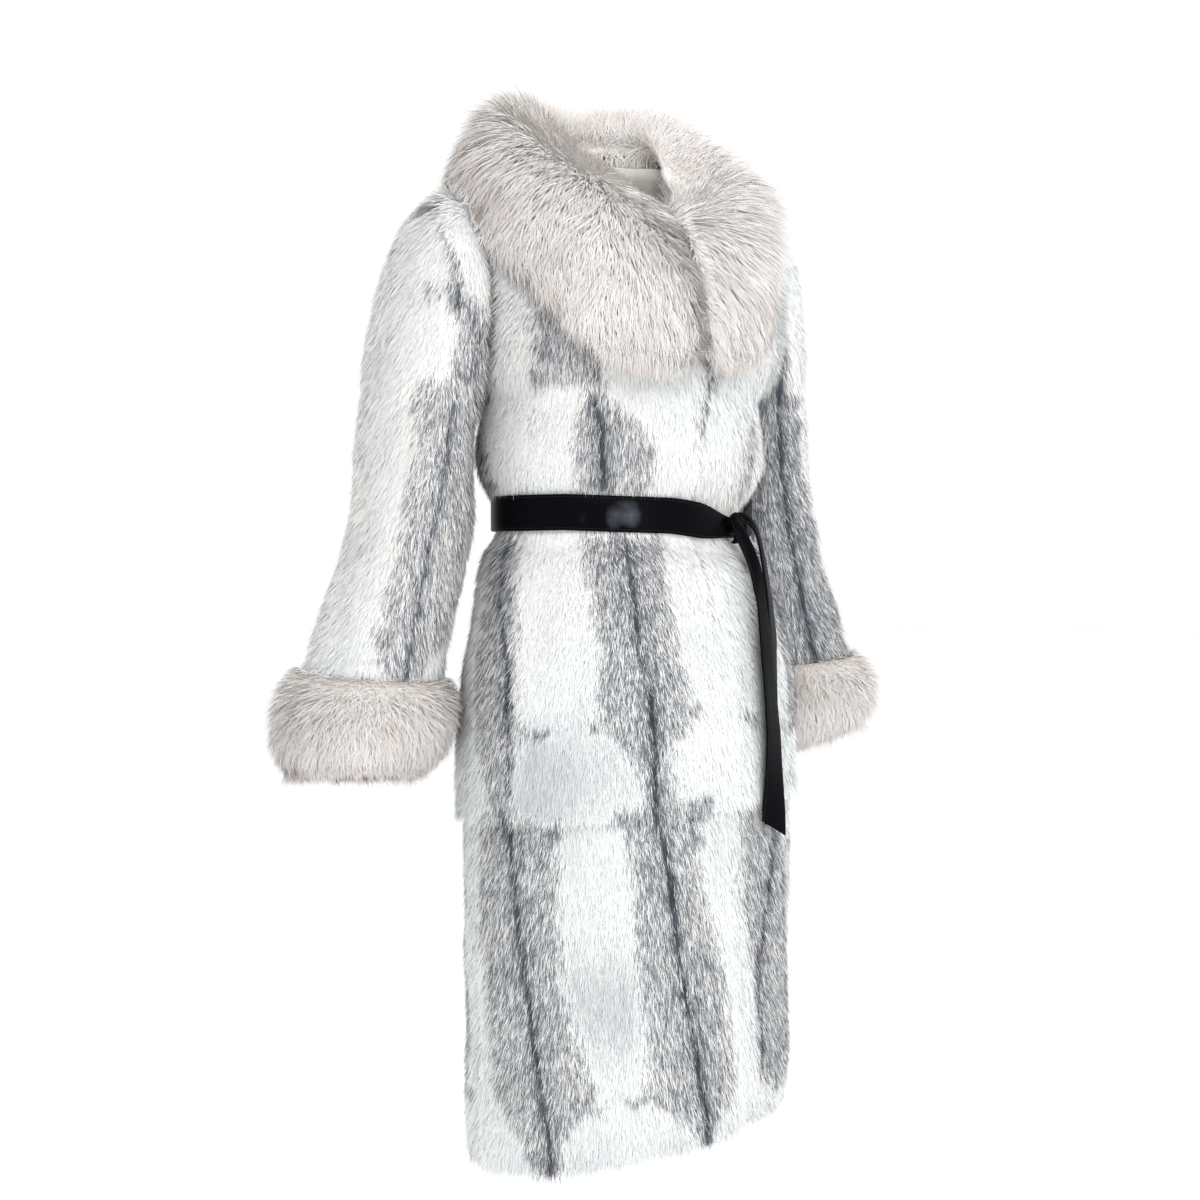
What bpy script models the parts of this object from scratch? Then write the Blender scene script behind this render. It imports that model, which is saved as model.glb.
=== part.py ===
"""Knee-length fur coat: two-tier body, set-in sleeves, fox collar and cuffs, tied leather belt.

Frame: metres, +Z up. The coat faces -Y and the wearer's left is +X. The origin lies on the axis of
the body at the height of the shoulders, where the wearer holds the coat up. Every outer surface is
the face that the tips of the fur make; each panel is a wall of skin and pile behind that face.

Angles round the body run from centre front: positive to the wearer's left, 90 at the side seam.
"""
import math
from collections import namedtuple

import bmesh
import bpy
from mathutils import Vector
from mathutils.bvhtree import BVHTree

# ---------------------------------------------------------------- driving dimensions

OVAL_SQUASH = 0.67          # depth over width of the body's sections, squared
SEAM_PULL = 0.00025         # each panel's edge stands this far back from the seam line
ARMHOLE_PULL = 0.0007       # the sleeve's top stands this far out from the armhole
BODY_WALL = 0.014           # skin plus short pile
SLEEVE_WALL = 0.013
TIER_GAP = 0.0004           # between the upper tier's hem and the lower tier's top edge

ARMPIT_Z = -0.250
TIER_HEM_Z = -0.700
HEM_Z = -1.084
TIER_TILT = 0.011           # the hems rise towards the wearer's left front
HEM_TILT = 0.026
TILT_DEG = 58.0

BELT_Z = -0.382
BELT_WIDTH = 0.039
BELT_THICK = 0.003
BELT_CLEAR = 0.0007
KNOT_DEG = 31.0
KNOT_DIP = 0.010            # the tied end pulls the belt down by this much
KNOT_DIP_REACH = 40.0       # degrees each side of the knot
BELT_DIP_REACH = 0.09       # how far above and below the belt the cloth dips with it
TILT_START = 0.05           # the upper tier starts to tilt this far below the belt

NECK_AXIS_Y = 0.041
NECK_POINT = Vector((0.078, 0.040, 0.022))
SHOULDER_TIP = Vector((0.206, 0.056, -0.018))
BACK_NECK = Vector((0.0, 0.099, 0.030))

UNDERLAP_COLUMNS = 1        # how far the left front goes on beneath the right front
UNDERLAP_WALL = 0.006
UNDERLAP_GAP = 0.0014
LEFT_FRONT_INSET = 0.004    # the left front lies this far behind the right front's face
INSET_REACH = 14.0

FRONT_COLUMNS = 9
NECK_COLUMNS = 3            # half of the back neck
SHARP_DEG = 50.0            # faces that meet at more than this keep a hard edge
ARMHOLE_ROWS = 9

# ---------------------------------------------------------------- tables

Section = namedtuple("Section", "z half_width front back side_y edge_deg")
UPPER_TIER = [
    Section(-0.700, 0.206, 0.168, 0.160, 0.000, 7.0),
    Section(-0.660, 0.206, 0.168, 0.160, 0.000, 6.6),
    Section(-0.600, 0.204, 0.165, 0.158, 0.001, 6.2),
    Section(-0.545, 0.199, 0.159, 0.155, 0.003, 5.8),
    Section(-0.495, 0.190, 0.150, 0.150, 0.006, 5.4),
    Section(-0.450, 0.179, 0.139, 0.144, 0.009, 5.0),
    Section(-0.420, 0.169, 0.127, 0.137, 0.011, 4.7),
    Section(-0.403, 0.154, 0.109, 0.127, 0.012, 4.6),
    Section(-0.382, 0.154, 0.109, 0.127, 0.012, 4.5),
    Section(-0.361, 0.154, 0.109, 0.127, 0.012, 4.3),
    Section(-0.343, 0.165, 0.127, 0.136, 0.015, 4.1),
    Section(-0.315, 0.168, 0.138, 0.138, 0.022, 3.8),
    Section(-0.285, 0.167, 0.142, 0.139, 0.031, 3.4),
    Section(-0.250, 0.165, 0.143, 0.140, 0.042, 3.0),
]
LOWER_TIER = [
    Section(-0.7004, 0.197, 0.160, 0.153, 0.000, 7.0),
    Section(-0.745, 0.198, 0.161, 0.154, 0.000, 8.2),
    Section(-0.795, 0.198, 0.161, 0.155, 0.000, 9.6),
    Section(-0.850, 0.197, 0.160, 0.156, 0.000, 11.2),
    Section(-0.905, 0.196, 0.160, 0.156, 0.000, 12.8),
    Section(-0.960, 0.197, 0.161, 0.157, 0.000, 14.4),
    Section(-1.010, 0.198, 0.162, 0.158, 0.000, 16.0),
    Section(-1.055, 0.197, 0.161, 0.157, 0.000, 17.6),
    Section(-1.084, 0.190, 0.155, 0.151, 0.000, 18.6),
]

# The yoke, from the armpit's height (rise 0) to the shoulder seam (rise 1). The inner end of a row
# runs up the front edge and then along the neckline; roundness 1 is a quarter ellipse, 0 is straight.
Yoke = namedtuple("Yoke", "rise in_x in_y in_z roundness back_y back_z")
YOKE = [
    Yoke(0.00, 0.000, -0.143, -0.250, 1.00, 0.140, -0.250),
    Yoke(0.18, 0.000, -0.142, -0.205, 1.00, 0.143, -0.200),
    Yoke(0.34, 0.000, -0.136, -0.163, 0.95, 0.145, -0.150),
    Yoke(0.46, 0.000, -0.126, -0.128, 0.85, 0.143, -0.112),
    Yoke(0.64, 0.034, -0.092, -0.085, 0.60, 0.136, -0.065),
    Yoke(0.82, 0.062, -0.034, -0.030, 0.30, 0.120, -0.016),
    Yoke(1.00, 0.078, 0.040, 0.022, 0.00, 0.099, 0.030),
]
NECKLINE_START = 0.46       # the rise at which the front edge turns into the neckline
BACK_FIT_START = 0.55       # above this the back's rows bend towards the neck points

# The armhole is a loop in two halves, front and back, from the armpit up to the shoulder tip.
ARMHOLE_Y = 0.052
ARMHOLE_FRONT = 0.082
ARMHOLE_BACK = 0.074
ARMHOLE_NOTCH_X = 0.186     # half-width at the front and back notches

# Soft folds: an angle round the body, height out (+) or in (-), half-width and the two ends.
Fold = namedtuple("Fold", "deg height half_deg z_top z_bottom")
UPPER_FOLDS = [
    Fold(-57.0, -0.006, 6.0, -0.395, -0.560),
    Fold(-44.0, 0.003, 8.0, -0.395, -0.600),
    Fold(-5.0, -0.004, 6.0, -0.395, -0.520),
    Fold(-72.0, 0.003, 9.0, -0.400, -0.690),
    Fold(24.0, 0.003, 8.0, -0.400, -0.640),
    Fold(44.0, -0.005, 7.0, -0.395, -0.560),
    Fold(66.0, 0.004, 9.0, -0.395, -0.640),
    Fold(-115.0, -0.006, 8.0, -0.395, -0.600),
    Fold(-140.0, 0.004, 10.0, -0.395, -0.660),
    Fold(-165.0, -0.006, 7.0, -0.395, -0.560),
    Fold(172.0, 0.004, 9.0, -0.400, -0.640),
    Fold(146.0, -0.007, 8.0, -0.395, -0.620),
    Fold(118.0, 0.004, 10.0, -0.395, -0.660),
    Fold(-70.0, 0.004, 12.0, -0.255, -0.365),
    Fold(-38.0, -0.003, 8.0, -0.270, -0.365),
    Fold(14.0, 0.006, 10.0, -0.240, -0.368),
    Fold(34.0, -0.004, 7.0, -0.250, -0.366),
    Fold(60.0, 0.004, 12.0, -0.255, -0.365),
    Fold(-130.0, 0.005, 13.0, -0.255, -0.366),
    Fold(-158.0, -0.004, 9.0, -0.270, -0.366),
    Fold(176.0, 0.005, 12.0, -0.250, -0.366),
    Fold(140.0, -0.004, 10.0, -0.265, -0.366),
    Fold(112.0, 0.005, 12.0, -0.255, -0.366),
]
LOWER_FOLDS = [
    Fold(-100.0, -0.004, 10.0, -0.760, -1.080),
    Fold(-45.0, 0.003, 14.0, -0.800, -1.100),
    Fold(-12.0, -0.003, 9.0, -0.850, -1.090),
    Fold(40.0, 0.003, 14.0, -0.800, -1.080),
    Fold(75.0, -0.004, 12.0, -0.780, -1.070),
    Fold(120.0, 0.004, 14.0, -0.800, -1.100),
    Fold(160.0, -0.004, 12.0, -0.780, -1.090),
    Fold(-150.0, 0.004, 14.0, -0.800, -1.110),
]

# Sleeve rings after the armhole: the points of the ring farthest from the body and next to it, the
# ring's middle from front to back and half its depth that way.
Ring = namedtuple("Ring", "outer_x outer_z inner_x inner_z y half_depth")
SLEEVE_RINGS = [
    Ring(0.230, -0.038, 0.173, -0.257, 0.054, 0.084),
    Ring(0.252, -0.076, 0.174, -0.265, 0.060, 0.086),
    Ring(0.266, -0.122, 0.174, -0.274, 0.067, 0.088),
    Ring(0.273, -0.164, 0.173, -0.285, 0.074, 0.090),
    Ring(0.279, -0.214, 0.172, -0.300, 0.079, 0.090),
    Ring(0.284, -0.268, 0.171, -0.324, 0.080, 0.089),
    Ring(0.290, -0.322, 0.170, -0.354, 0.080, 0.087),
    Ring(0.297, -0.375, 0.169, -0.393, 0.079, 0.085),
    Ring(0.310, -0.425, 0.179, -0.440, 0.079, 0.084),
    Ring(0.328, -0.472, 0.190, -0.486, 0.081, 0.085),
    Ring(0.345, -0.518, 0.200, -0.530, 0.083, 0.086),
    Ring(0.355, -0.549, 0.206, -0.561, 0.083, 0.088),
]
SLEEVE_SQUARENESS = 2.4     # 2 is an ellipse; more fills the ring's corners
SLEEVE_CLEAR = 0.003        # between the sleeve and the body beside it
INNER_QUARTER = 0.2         # the share of a turn each side of the inner line that faces the body

# Cuff profile: height below the sleeve's end and how far out the fur stands from the sleeve's face.
CUFF_SEAM_DROP = 0.0004
CUFF_CLEAR = 0.003          # between the cuff and the hip beside it
CuffPoint = namedtuple("CuffPoint", "drop out")
CUFF_PROFILE = [
    CuffPoint(0.005, 0.008),
    CuffPoint(0.020, 0.020),
    CuffPoint(0.044, 0.026),
    CuffPoint(0.070, 0.025),
    CuffPoint(0.092, 0.018),
    CuffPoint(0.108, 0.006),
    CuffPoint(0.114, -0.006),
    CuffPoint(0.108, -0.017),
    CuffPoint(0.090, -0.020),
    CuffPoint(0.045, -0.018),
]
CUFF_LEAN_DEG = 8.0         # the cuff's front stands higher than its back
LEFT_CUFF_OUTER_DEG = 11.0  # the left cuff's outer side stands higher than its inner side
CUFF_SHIFT_X = 0.012        # the cuff's foot stands this far outside its top

# Collar stations from the front end to centre back, as angles round the neck's axis. Radii are from
# that axis. The underside lies on the body, so only its inner end (base) is given.
Station = namedtuple("Station", "deg neck_r neck_z crest_r crest_z upper_r upper_z "
                                "bulge_r bulge_z edge_r edge_z")
COLLAR = [
    Station(3.0, 0.122, -0.085, 0.090, -0.044, 0.140, -0.052, 0.198, -0.112, 0.228, -0.208),
    Station(14.0, 0.112, -0.072, 0.086, -0.035, 0.146, -0.038, 0.208, -0.106, 0.234, -0.222),
    Station(30.0, 0.092, -0.046, 0.082, -0.014, 0.142, -0.008, 0.212, -0.084, 0.236, -0.214),
    Station(48.0, 0.074, -0.016, 0.080, 0.008, 0.136, 0.018, 0.204, -0.048, 0.226, -0.160),
    Station(66.0, 0.064, 0.010, 0.080, 0.032, 0.134, 0.046, 0.196, -0.006, 0.214, -0.106),
    Station(84.0, 0.058, 0.034, 0.082, 0.056, 0.132, 0.072, 0.188, 0.026, 0.206, -0.052),
    Station(104.0, 0.055, 0.044, 0.086, 0.083, 0.130, 0.090, 0.178, 0.038, 0.198, -0.036),
    Station(126.0, 0.054, 0.048, 0.088, 0.098, 0.128, 0.098, 0.170, 0.040, 0.190, -0.050),
    Station(152.0, 0.052, 0.052, 0.086, 0.100, 0.122, 0.097, 0.160, 0.036, 0.178, -0.076),
    Station(180.0, 0.050, 0.054, 0.085, 0.100, 0.118, 0.096, 0.154, 0.032, 0.172, -0.088),
]
LEFT_ROLL_NARROW = 0.94     # the left half's roll spreads this much as far past its crest
LEFT_EDGE_NARROW = 0.66     # and its outer edge this much as far
LEFT_EDGE_RISE = 0.010      # its outer edge ends this much higher
LEFT_COLLAR_DROP = 0.018    # its roll lies this much lower
LEFT_CREST_IN = 0.022       # and its crest this much nearer the neck
LEFT_COLLAR_MIDDLE = 58.0
LEFT_COLLAR_REACH = 68.0
COLLAR_STEPS = 38           # sections from one front end to the other
COLLAR_TOP_POINTS = 12
COLLAR_UNDER_POINTS = 7
COLLAR_SEAT = 0.0018        # at the neckline and along the outer edge it rests on the body
EASE_SAMPLES = 3            # places tested along each side of an underside face
EASE_ROUNDS = 4
COLLAR_OVERLAP = 0.006      # the collar's base lies on the body this far outside the neckline
COLLAR_LIP_RISE = 0.011     # how high its inner face clears the neckline's rim
COLLAR_EDGE_RISE = 0.012    # its outer edge stands at least this high over the shoulder
COLLAR_GUESS_LIFT = 0.02    # how far outside the body the underside's points start from
COLLAR_DROP_TEST = 0.3      # the shoulder below the outer edge is looked for from this far above it
COLLAR_MEET_DEG = -3.5      # the ends meet a little to the wearer's right of centre
COLLAR_END_GAP_DEG = 0.25

BELT_STEPS = 56
BELT_CROWN = 0.0004         # the strap is this much thicker along its middle
KNOT_WIDTH = 0.034
KNOT_DEPTH = 0.014
KNOT_HEIGHT = 0.040
KNOT_ROUNDING = 0.005
KNOT_ROUND_STEPS = 3
TAIL_STEPS = 14
TAIL_TURNS = [0.0, 0.35, 0.6, 1.0]      # where along its length a tail's angle is given
TAIL_THICK = 0.0026
TAIL_POINT_DROP = 0.012     # the strap's end is cut at a slant
FACE_SQUASH = 0.78          # turns the tail's face to the oval body's face

Tail = namedtuple("Tail", "length width out deg_mid deg_low")
TAILS = [
    ("belt_tail_outer", Tail(0.318, 0.034, 0.0058, 28.5, 27.0)),
    ("belt_tail_inner", Tail(0.302, 0.034, 0.0008, 32.5, 32.0)),
]

# ---------------------------------------------------------------- small helpers


def smooth_value(xs, ys, x):
    """Cubic through the rows of a table, level where the rows turn, so it never overshoots."""
    if x <= xs[0]:
        return ys[0]
    if x >= xs[-1]:
        return ys[-1]
    k = max(i for i in range(len(xs) - 1) if xs[i] <= x)

    def slope(i):
        if i == 0 or i == len(xs) - 1:
            j = min(i, len(xs) - 2)
            return (ys[j + 1] - ys[j]) / (xs[j + 1] - xs[j])
        left = (ys[i] - ys[i - 1]) / (xs[i] - xs[i - 1])
        right = (ys[i + 1] - ys[i]) / (xs[i + 1] - xs[i])
        return 0.0 if left * right <= 0 else 2 * left * right / (left + right)

    width = xs[k + 1] - xs[k]
    t = (x - xs[k]) / width
    rise = t * t * (3 - 2 * t)
    return (ys[k] * (1 - rise) + ys[k + 1] * rise
            + width * (slope(k) * t * (1 - t) ** 2 - slope(k + 1) * t * t * (1 - t)))


def table_row(table, key, x):
    """The table's row at x, with every other column interpolated."""
    rows = sorted(table, key=lambda row: getattr(row, key))
    xs = [getattr(row, key) for row in rows]
    values = [smooth_value(xs, [getattr(row, name) for row in rows], x) for name in table[0]._fields]
    return type(table[0])(*values)


def smoothstep(t):
    t = min(1.0, max(0.0, t))
    return t * t * (3 - 2 * t)


def mix(a, b, t):
    return a * (1 - t) + b * t


def angle_apart(a, b):
    return (a - b + 180.0) % 360.0 - 180.0


def bump(distance, half_width):
    """A smooth hill, 1 in the middle and 0 from half_width on."""
    return 0.5 + 0.5 * math.cos(math.pi * min(1.0, abs(distance) / half_width))


def fold_height(folds, deg, z):
    """How far the folds lift the surface at an angle and height."""
    total = 0.0
    for fold in folds:
        middle = 0.5 * (fold.z_top + fold.z_bottom)
        half = 0.5 * (fold.z_top - fold.z_bottom)
        total += fold.height * bump(angle_apart(deg, fold.deg), 2 * fold.half_deg) * bump(z - middle, half)
    return total


def tilt_z(z, deg, top, bottom, tilt):
    """Height of a hem row: the tilt grows from nothing at top to its whole at bottom."""
    weight = smoothstep((top - z) / (top - bottom))
    return z + tilt * weight * math.cos(math.radians(deg - TILT_DEG))


def belt_dip(deg):
    return -KNOT_DIP * bump(angle_apart(deg, KNOT_DEG), KNOT_DIP_REACH)


# ---------------------------------------------------------------- body surfaces

Row = namedtuple("Row", "inner outer start_deg roundness")


def row_point(row, t):
    """A point along a row, t from its inner end (0) to the side seam or armhole (1)."""
    start = math.radians(row.start_deg)
    phi = start + t * (math.pi / 2 - start)
    across = (math.sin(phi) - math.sin(start)) / (1 - math.sin(start))
    along = (math.cos(start) - math.cos(phi)) / math.cos(start)
    across = mix(t, across, row.roundness)
    along = mix(t, along, row.roundness)
    return Vector((mix(row.inner.x, row.outer.x, across),
                   mix(row.inner.y, row.outer.y, along),
                   mix(row.inner.z, row.outer.z, t)))


def section_row(section, edge_deg, is_front):
    """A level row of the body, front or back, in a frame whose +X points away from the middle."""
    start = math.radians(edge_deg)
    depth = section.front + section.side_y if is_front else section.back - section.side_y
    sign = -1 if is_front else 1
    inner = Vector((section.half_width * math.sin(start),
                    section.side_y + sign * depth * math.cos(start), section.z))
    return Row(inner, Vector((section.half_width, section.side_y, section.z)), edge_deg, 1.0)


def armhole_point(rise, is_front):
    beta = math.radians(-90 + 180 * rise)
    reach = -ARMHOLE_FRONT if is_front else ARMHOLE_BACK
    armpit = Vector((UPPER_TIER[-1].half_width, UPPER_TIER[-1].side_y, ARMPIT_Z))
    ends = armpit.lerp(SHOULDER_TIP, rise)
    notch = math.cos(beta)
    middle_x = mix(ends.x, ARMHOLE_NOTCH_X, notch)
    middle_z = mix(ARMPIT_Z, SHOULDER_TIP.z, 0.5 + 0.5 * math.sin(beta))
    return Vector((middle_x, mix(ends.y, ARMHOLE_Y, notch) + reach * notch, middle_z))


def yoke_row(rise, edge_deg, is_front):
    yoke = table_row(YOKE, "rise", rise)
    outer = armhole_point(rise, is_front)
    if not is_front:
        return Row(Vector((0.0, yoke.back_y, yoke.back_z)), outer, 0.0, yoke.roundness)
    lap = 1 - smoothstep((rise - NECKLINE_START) / (1 - NECKLINE_START))
    start = edge_deg * lap
    inner_x = yoke.in_x + UPPER_TIER[-1].half_width * math.sin(math.radians(start))
    return Row(Vector((inner_x, yoke.in_y, yoke.in_z)), outer, start, yoke.roundness)


def lift(point, side_y, height):
    """Move a point level and away from the body, square to its oval section."""
    away = Vector((point.x * OVAL_SQUASH, point.y - side_y, 0.0)).normalized()
    return point + away * height


def world_angle(side, start_deg, t, is_front):
    local = start_deg + t * (90 - start_deg)
    return side * local if is_front else side * (180 - local)


def tier_point(section, side, edge_deg, t, is_front, folds):
    """A point of either tier's outer face below the armpit. side is +1 on the wearer's left."""
    start = side * edge_deg if is_front else 0.0
    row = section_row(section, start, is_front)
    point = row_point(row, t)
    deg = world_angle(side, start, t, is_front)
    point.x *= side
    point = lift(point, section.side_y, fold_height(folds, deg, section.z))
    if side > 0 and is_front:
        past_edge = abs(angle_apart(deg, edge_deg))
        point = lift(point, section.side_y, -LEFT_FRONT_INSET * bump(past_edge, INSET_REACH))
    return point, deg


def upper_point(section, side, t, is_front):
    point, deg = tier_point(section, side, section.edge_deg, t, is_front, UPPER_FOLDS)
    near_belt = bump(section.z - BELT_Z, BELT_DIP_REACH)
    point.z += belt_dip(deg) * near_belt
    point.z = tilt_z(point.z, deg, BELT_Z - TILT_START, TIER_HEM_Z, TIER_TILT)
    return point


def lower_point(section, side, t, is_front):
    point, deg = tier_point(section, side, section.edge_deg, t, is_front, LOWER_FOLDS)
    tier_rise = TIER_TILT * math.cos(math.radians(deg - TILT_DEG))
    share = smoothstep((TIER_HEM_Z - section.z) / (TIER_HEM_Z - HEM_Z))
    point.z += mix(tier_rise, HEM_TILT * math.cos(math.radians(deg - TILT_DEG)), share)
    return point


def yoke_point(rise, side, t, is_front):
    edge = UPPER_TIER[-1].edge_deg
    row = yoke_row(rise, side * edge, is_front)
    point = row_point(row, t)
    if not is_front:
        point += back_fit(t) * smoothstep((rise - BACK_FIT_START) / (1 - BACK_FIT_START))
    point.x *= side
    if is_front and side > 0:
        deg = world_angle(side, row.start_deg, t, True)
        fade = 1 - smoothstep(rise / NECKLINE_START)
        past_edge = abs(angle_apart(deg, edge))
        point = lift(point, 0.0, -LEFT_FRONT_INSET * fade * bump(past_edge, INSET_REACH))
    return point


def back_top_point(t):
    """The back's top edge: half the back neckline, then the shoulder seam."""
    turn = NECK_COLUMNS / (NECK_COLUMNS + FRONT_COLUMNS)
    if t >= turn:
        return NECK_POINT.lerp(SHOULDER_TIP, (t - turn) / (1 - turn))
    phi = math.pi / 2 * t / turn
    return Vector((mix(BACK_NECK.x, NECK_POINT.x, math.sin(phi)),
                   mix(BACK_NECK.y, NECK_POINT.y, 1 - math.cos(phi)),
                   mix(BACK_NECK.z, NECK_POINT.z, t / turn)))


BACK_NECK_POINTS = [back_top_point(n / (NECK_COLUMNS + FRONT_COLUMNS))
                    for n in range(NECK_COLUMNS - 1, -1, -1)]


def back_fit(t):
    """What brings the back's plain top row onto its real top edge."""
    return back_top_point(t) - row_point(yoke_row(1.0, 0.0, False), t)


# ---------------------------------------------------------------- panels

class Panel:
    """A grid of outer points with the depth of the wall behind each, and the cells that exist."""

    def __init__(self, name, columns, rows):
        self.name = name
        self.points = {}
        self.depth = {}
        self.cells = [(i, j) for i in range(columns) for j in range(rows)]
        self.seams = []
        self.pull = Vector((0, 0, 0))
        self.flip = False

    def corners(self, cell):
        i, j = cell
        loop = [(i, j), (i + 1, j), (i + 1, j + 1), (i, j + 1)]
        return loop[::-1] if self.flip else loop


def key_of(point):
    return tuple(round(value, 5) for value in point)


def shared_normals(panels):
    """Outward directions, averaged over every panel that meets at a point."""
    totals = {}
    for panel in panels:
        for cell in panel.cells:
            a, b, c, d = [panel.points[node] for node in panel.corners(cell)]
            normal = (c - a).cross(d - b)
            for corner in (a, b, c, d):
                total = totals.setdefault(key_of(corner), Vector((0, 0, 0)))
                total += normal
    return {key: total.normalized() for key, total in totals.items()}


def boundary_edges(panel):
    """Directed edges that belong to one cell only."""
    edges = {}
    for cell in panel.cells:
        loop = panel.corners(cell)
        for first, second in zip(loop, loop[1:] + loop[:1]):
            edges[(first, second)] = True
    return [edge for edge in edges if (edge[1], edge[0]) not in edges]


def seam_shift(panel, node):
    """How far an edge point stands back from its seams, towards the inside of the panel."""
    shift = Vector((0, 0, 0))
    for edge_name, inward in panel.seams:
        if edge_name(node):
            shift += panel.pull
            neighbour = (node[0] + inward[0], node[1] + inward[1])
            direction = panel.points[neighbour] - panel.points[node]
            shift += direction.normalized() * SEAM_PULL
    return shift


def make_wall(panel, normals, collection, material):
    """One closed body: the outer face, the inner face behind it and a rim round the edge."""
    mesh = bmesh.new()
    used = sorted({node for cell in panel.cells for node in panel.corners(cell)})
    outer = {}
    inner = {}
    for node in used:
        shift = seam_shift(panel, node)
        point = panel.points[node]
        outer[node] = mesh.verts.new(point + shift)
        inner[node] = mesh.verts.new(point + shift - normals[key_of(point)] * panel.depth[node])
    for cell in panel.cells:
        loop = panel.corners(cell)
        mesh.faces.new([outer[node] for node in loop])
        mesh.faces.new([inner[node] for node in reversed(loop)])
    for first, second in boundary_edges(panel):
        if key_of(panel.points[first]) < key_of(panel.points[second]):
            mesh.faces.new([outer[second], outer[first], inner[second]])
            mesh.faces.new([outer[first], inner[first], inner[second]])
        else:
            mesh.faces.new([outer[second], outer[first], inner[first]])
            mesh.faces.new([outer[second], inner[first], inner[second]])
    return add_object(panel.name, mesh, collection, material)


def add_object(name, mesh, collection, material):
    data = bpy.data.meshes.new(name)
    bmesh.ops.recalc_face_normals(mesh, faces=mesh.faces)
    mesh.to_mesh(data)
    mesh.free()
    data.shade_smooth()
    data.set_sharp_from_angle(angle=math.radians(SHARP_DEG))
    data.materials.append(material)
    item = bpy.data.objects.new(name, data)
    collection.objects.link(item)
    return item


def fill_panel(panel, columns, rows, place, depth):
    for i in range(columns + 1):
        for j in range(rows + 1):
            panel.points[(i, j)] = place(i, j)
            panel.depth[(i, j)] = depth


def add_underlap(left, right, normals, rows):
    """The left front goes on beneath the right front, made from that panel's points, one wall in."""
    behind = BODY_WALL + UNDERLAP_GAP
    for j in range(rows + 1):
        edge = right.points[(FRONT_COLUMNS, j)]
        inset = (left.points[(FRONT_COLUMNS, j)] - edge).length
        left.points[(FRONT_COLUMNS, j)] = edge - normals[key_of(edge)] * inset
    for n in range(UNDERLAP_COLUMNS + 1):
        column = FRONT_COLUMNS + 1 + n
        for j in range(rows + 1):
            point = right.points[(FRONT_COLUMNS - n, j)]
            left.points[(column, j)] = point - normals[key_of(point)] * behind
            left.depth[(column, j)] = UNDERLAP_WALL
        left.cells += [(column - 1, j) for j in range(rows)]
    for j in range(rows + 1):
        left.depth[(FRONT_COLUMNS, j)] = BODY_WALL + UNDERLAP_WALL


def upper_panels():
    """The upper tier: right front, left front and back, as grids from hem to shoulder seam."""
    level_rows = len(UPPER_TIER) - 1
    rows = level_rows + ARMHOLE_ROWS

    def place(side, t, j, is_front):
        if j <= level_rows:
            return upper_point(UPPER_TIER[j], side, t, is_front)
        return yoke_point((j - level_rows) / ARMHOLE_ROWS, side, t, is_front)

    panels = []
    for name, side in (("front_right", -1), ("front_left", 1)):
        panel = Panel(name, FRONT_COLUMNS, rows)
        panel.flip = side > 0
        fill_panel(panel, FRONT_COLUMNS, rows,
                   lambda i, j, side=side: place(side, 1 - i / FRONT_COLUMNS, j, True), BODY_WALL)
        panel.seams = [(lambda node: node[0] == 0, (1, 0)), (lambda node: node[1] == rows, (0, -1))]
        panels.append(panel)
    right, left = panels
    lap_rows = level_rows + math.floor(NECKLINE_START * ARMHOLE_ROWS)
    left.seams.append((lambda node: node[0] == FRONT_COLUMNS, (-1, 0)))
    right.seams.append((lambda node: node[0] == FRONT_COLUMNS and node[1] <= lap_rows, (-1, 0)))

    half = NECK_COLUMNS + FRONT_COLUMNS
    back = Panel("back", 2 * half, rows)
    fill_panel(back, 2 * half, rows,
               lambda i, j: place(1 if i < half else -1, abs(i - half) / half, j, False), BODY_WALL)
    back.seams = [(lambda node: node[0] == 0, (1, 0)), (lambda node: node[0] == 2 * half, (-1, 0)),
                  (lambda node: node[1] == rows and abs(node[0] - half) >= NECK_COLUMNS, (0, -1))]
    left.lap_rows = right.lap_rows = lap_rows
    return [right, left, back]


def lower_panels():
    rows = len(LOWER_TIER) - 1

    def place(side, t, j, is_front):
        return lower_point(LOWER_TIER[rows - j], side, t, is_front)

    panels = []
    for name, side in (("skirt_front_right", -1), ("skirt_front_left", 1)):
        panel = Panel(name, FRONT_COLUMNS, rows)
        panel.flip = side > 0
        fill_panel(panel, FRONT_COLUMNS, rows,
                   lambda i, j, side=side: place(side, 1 - i / FRONT_COLUMNS, j, True), BODY_WALL)
        panel.seams = [(lambda node: node[0] == 0, (1, 0)),
                       (lambda node: node[0] == FRONT_COLUMNS, (-1, 0))]
        panels.append(panel)
    right, left = panels
    left.lap_rows = rows
    columns = 2 * FRONT_COLUMNS + 2
    back = Panel("skirt_back", columns, rows)
    middle = columns // 2
    fill_panel(back, columns, rows,
               lambda i, j: place(1 if i < middle else -1, abs(i - middle) / middle, j, False),
               BODY_WALL)
    back.seams = [(lambda node: node[0] == 0, (1, 0)), (lambda node: node[0] == columns, (-1, 0))]
    return [right, left, back]


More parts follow.
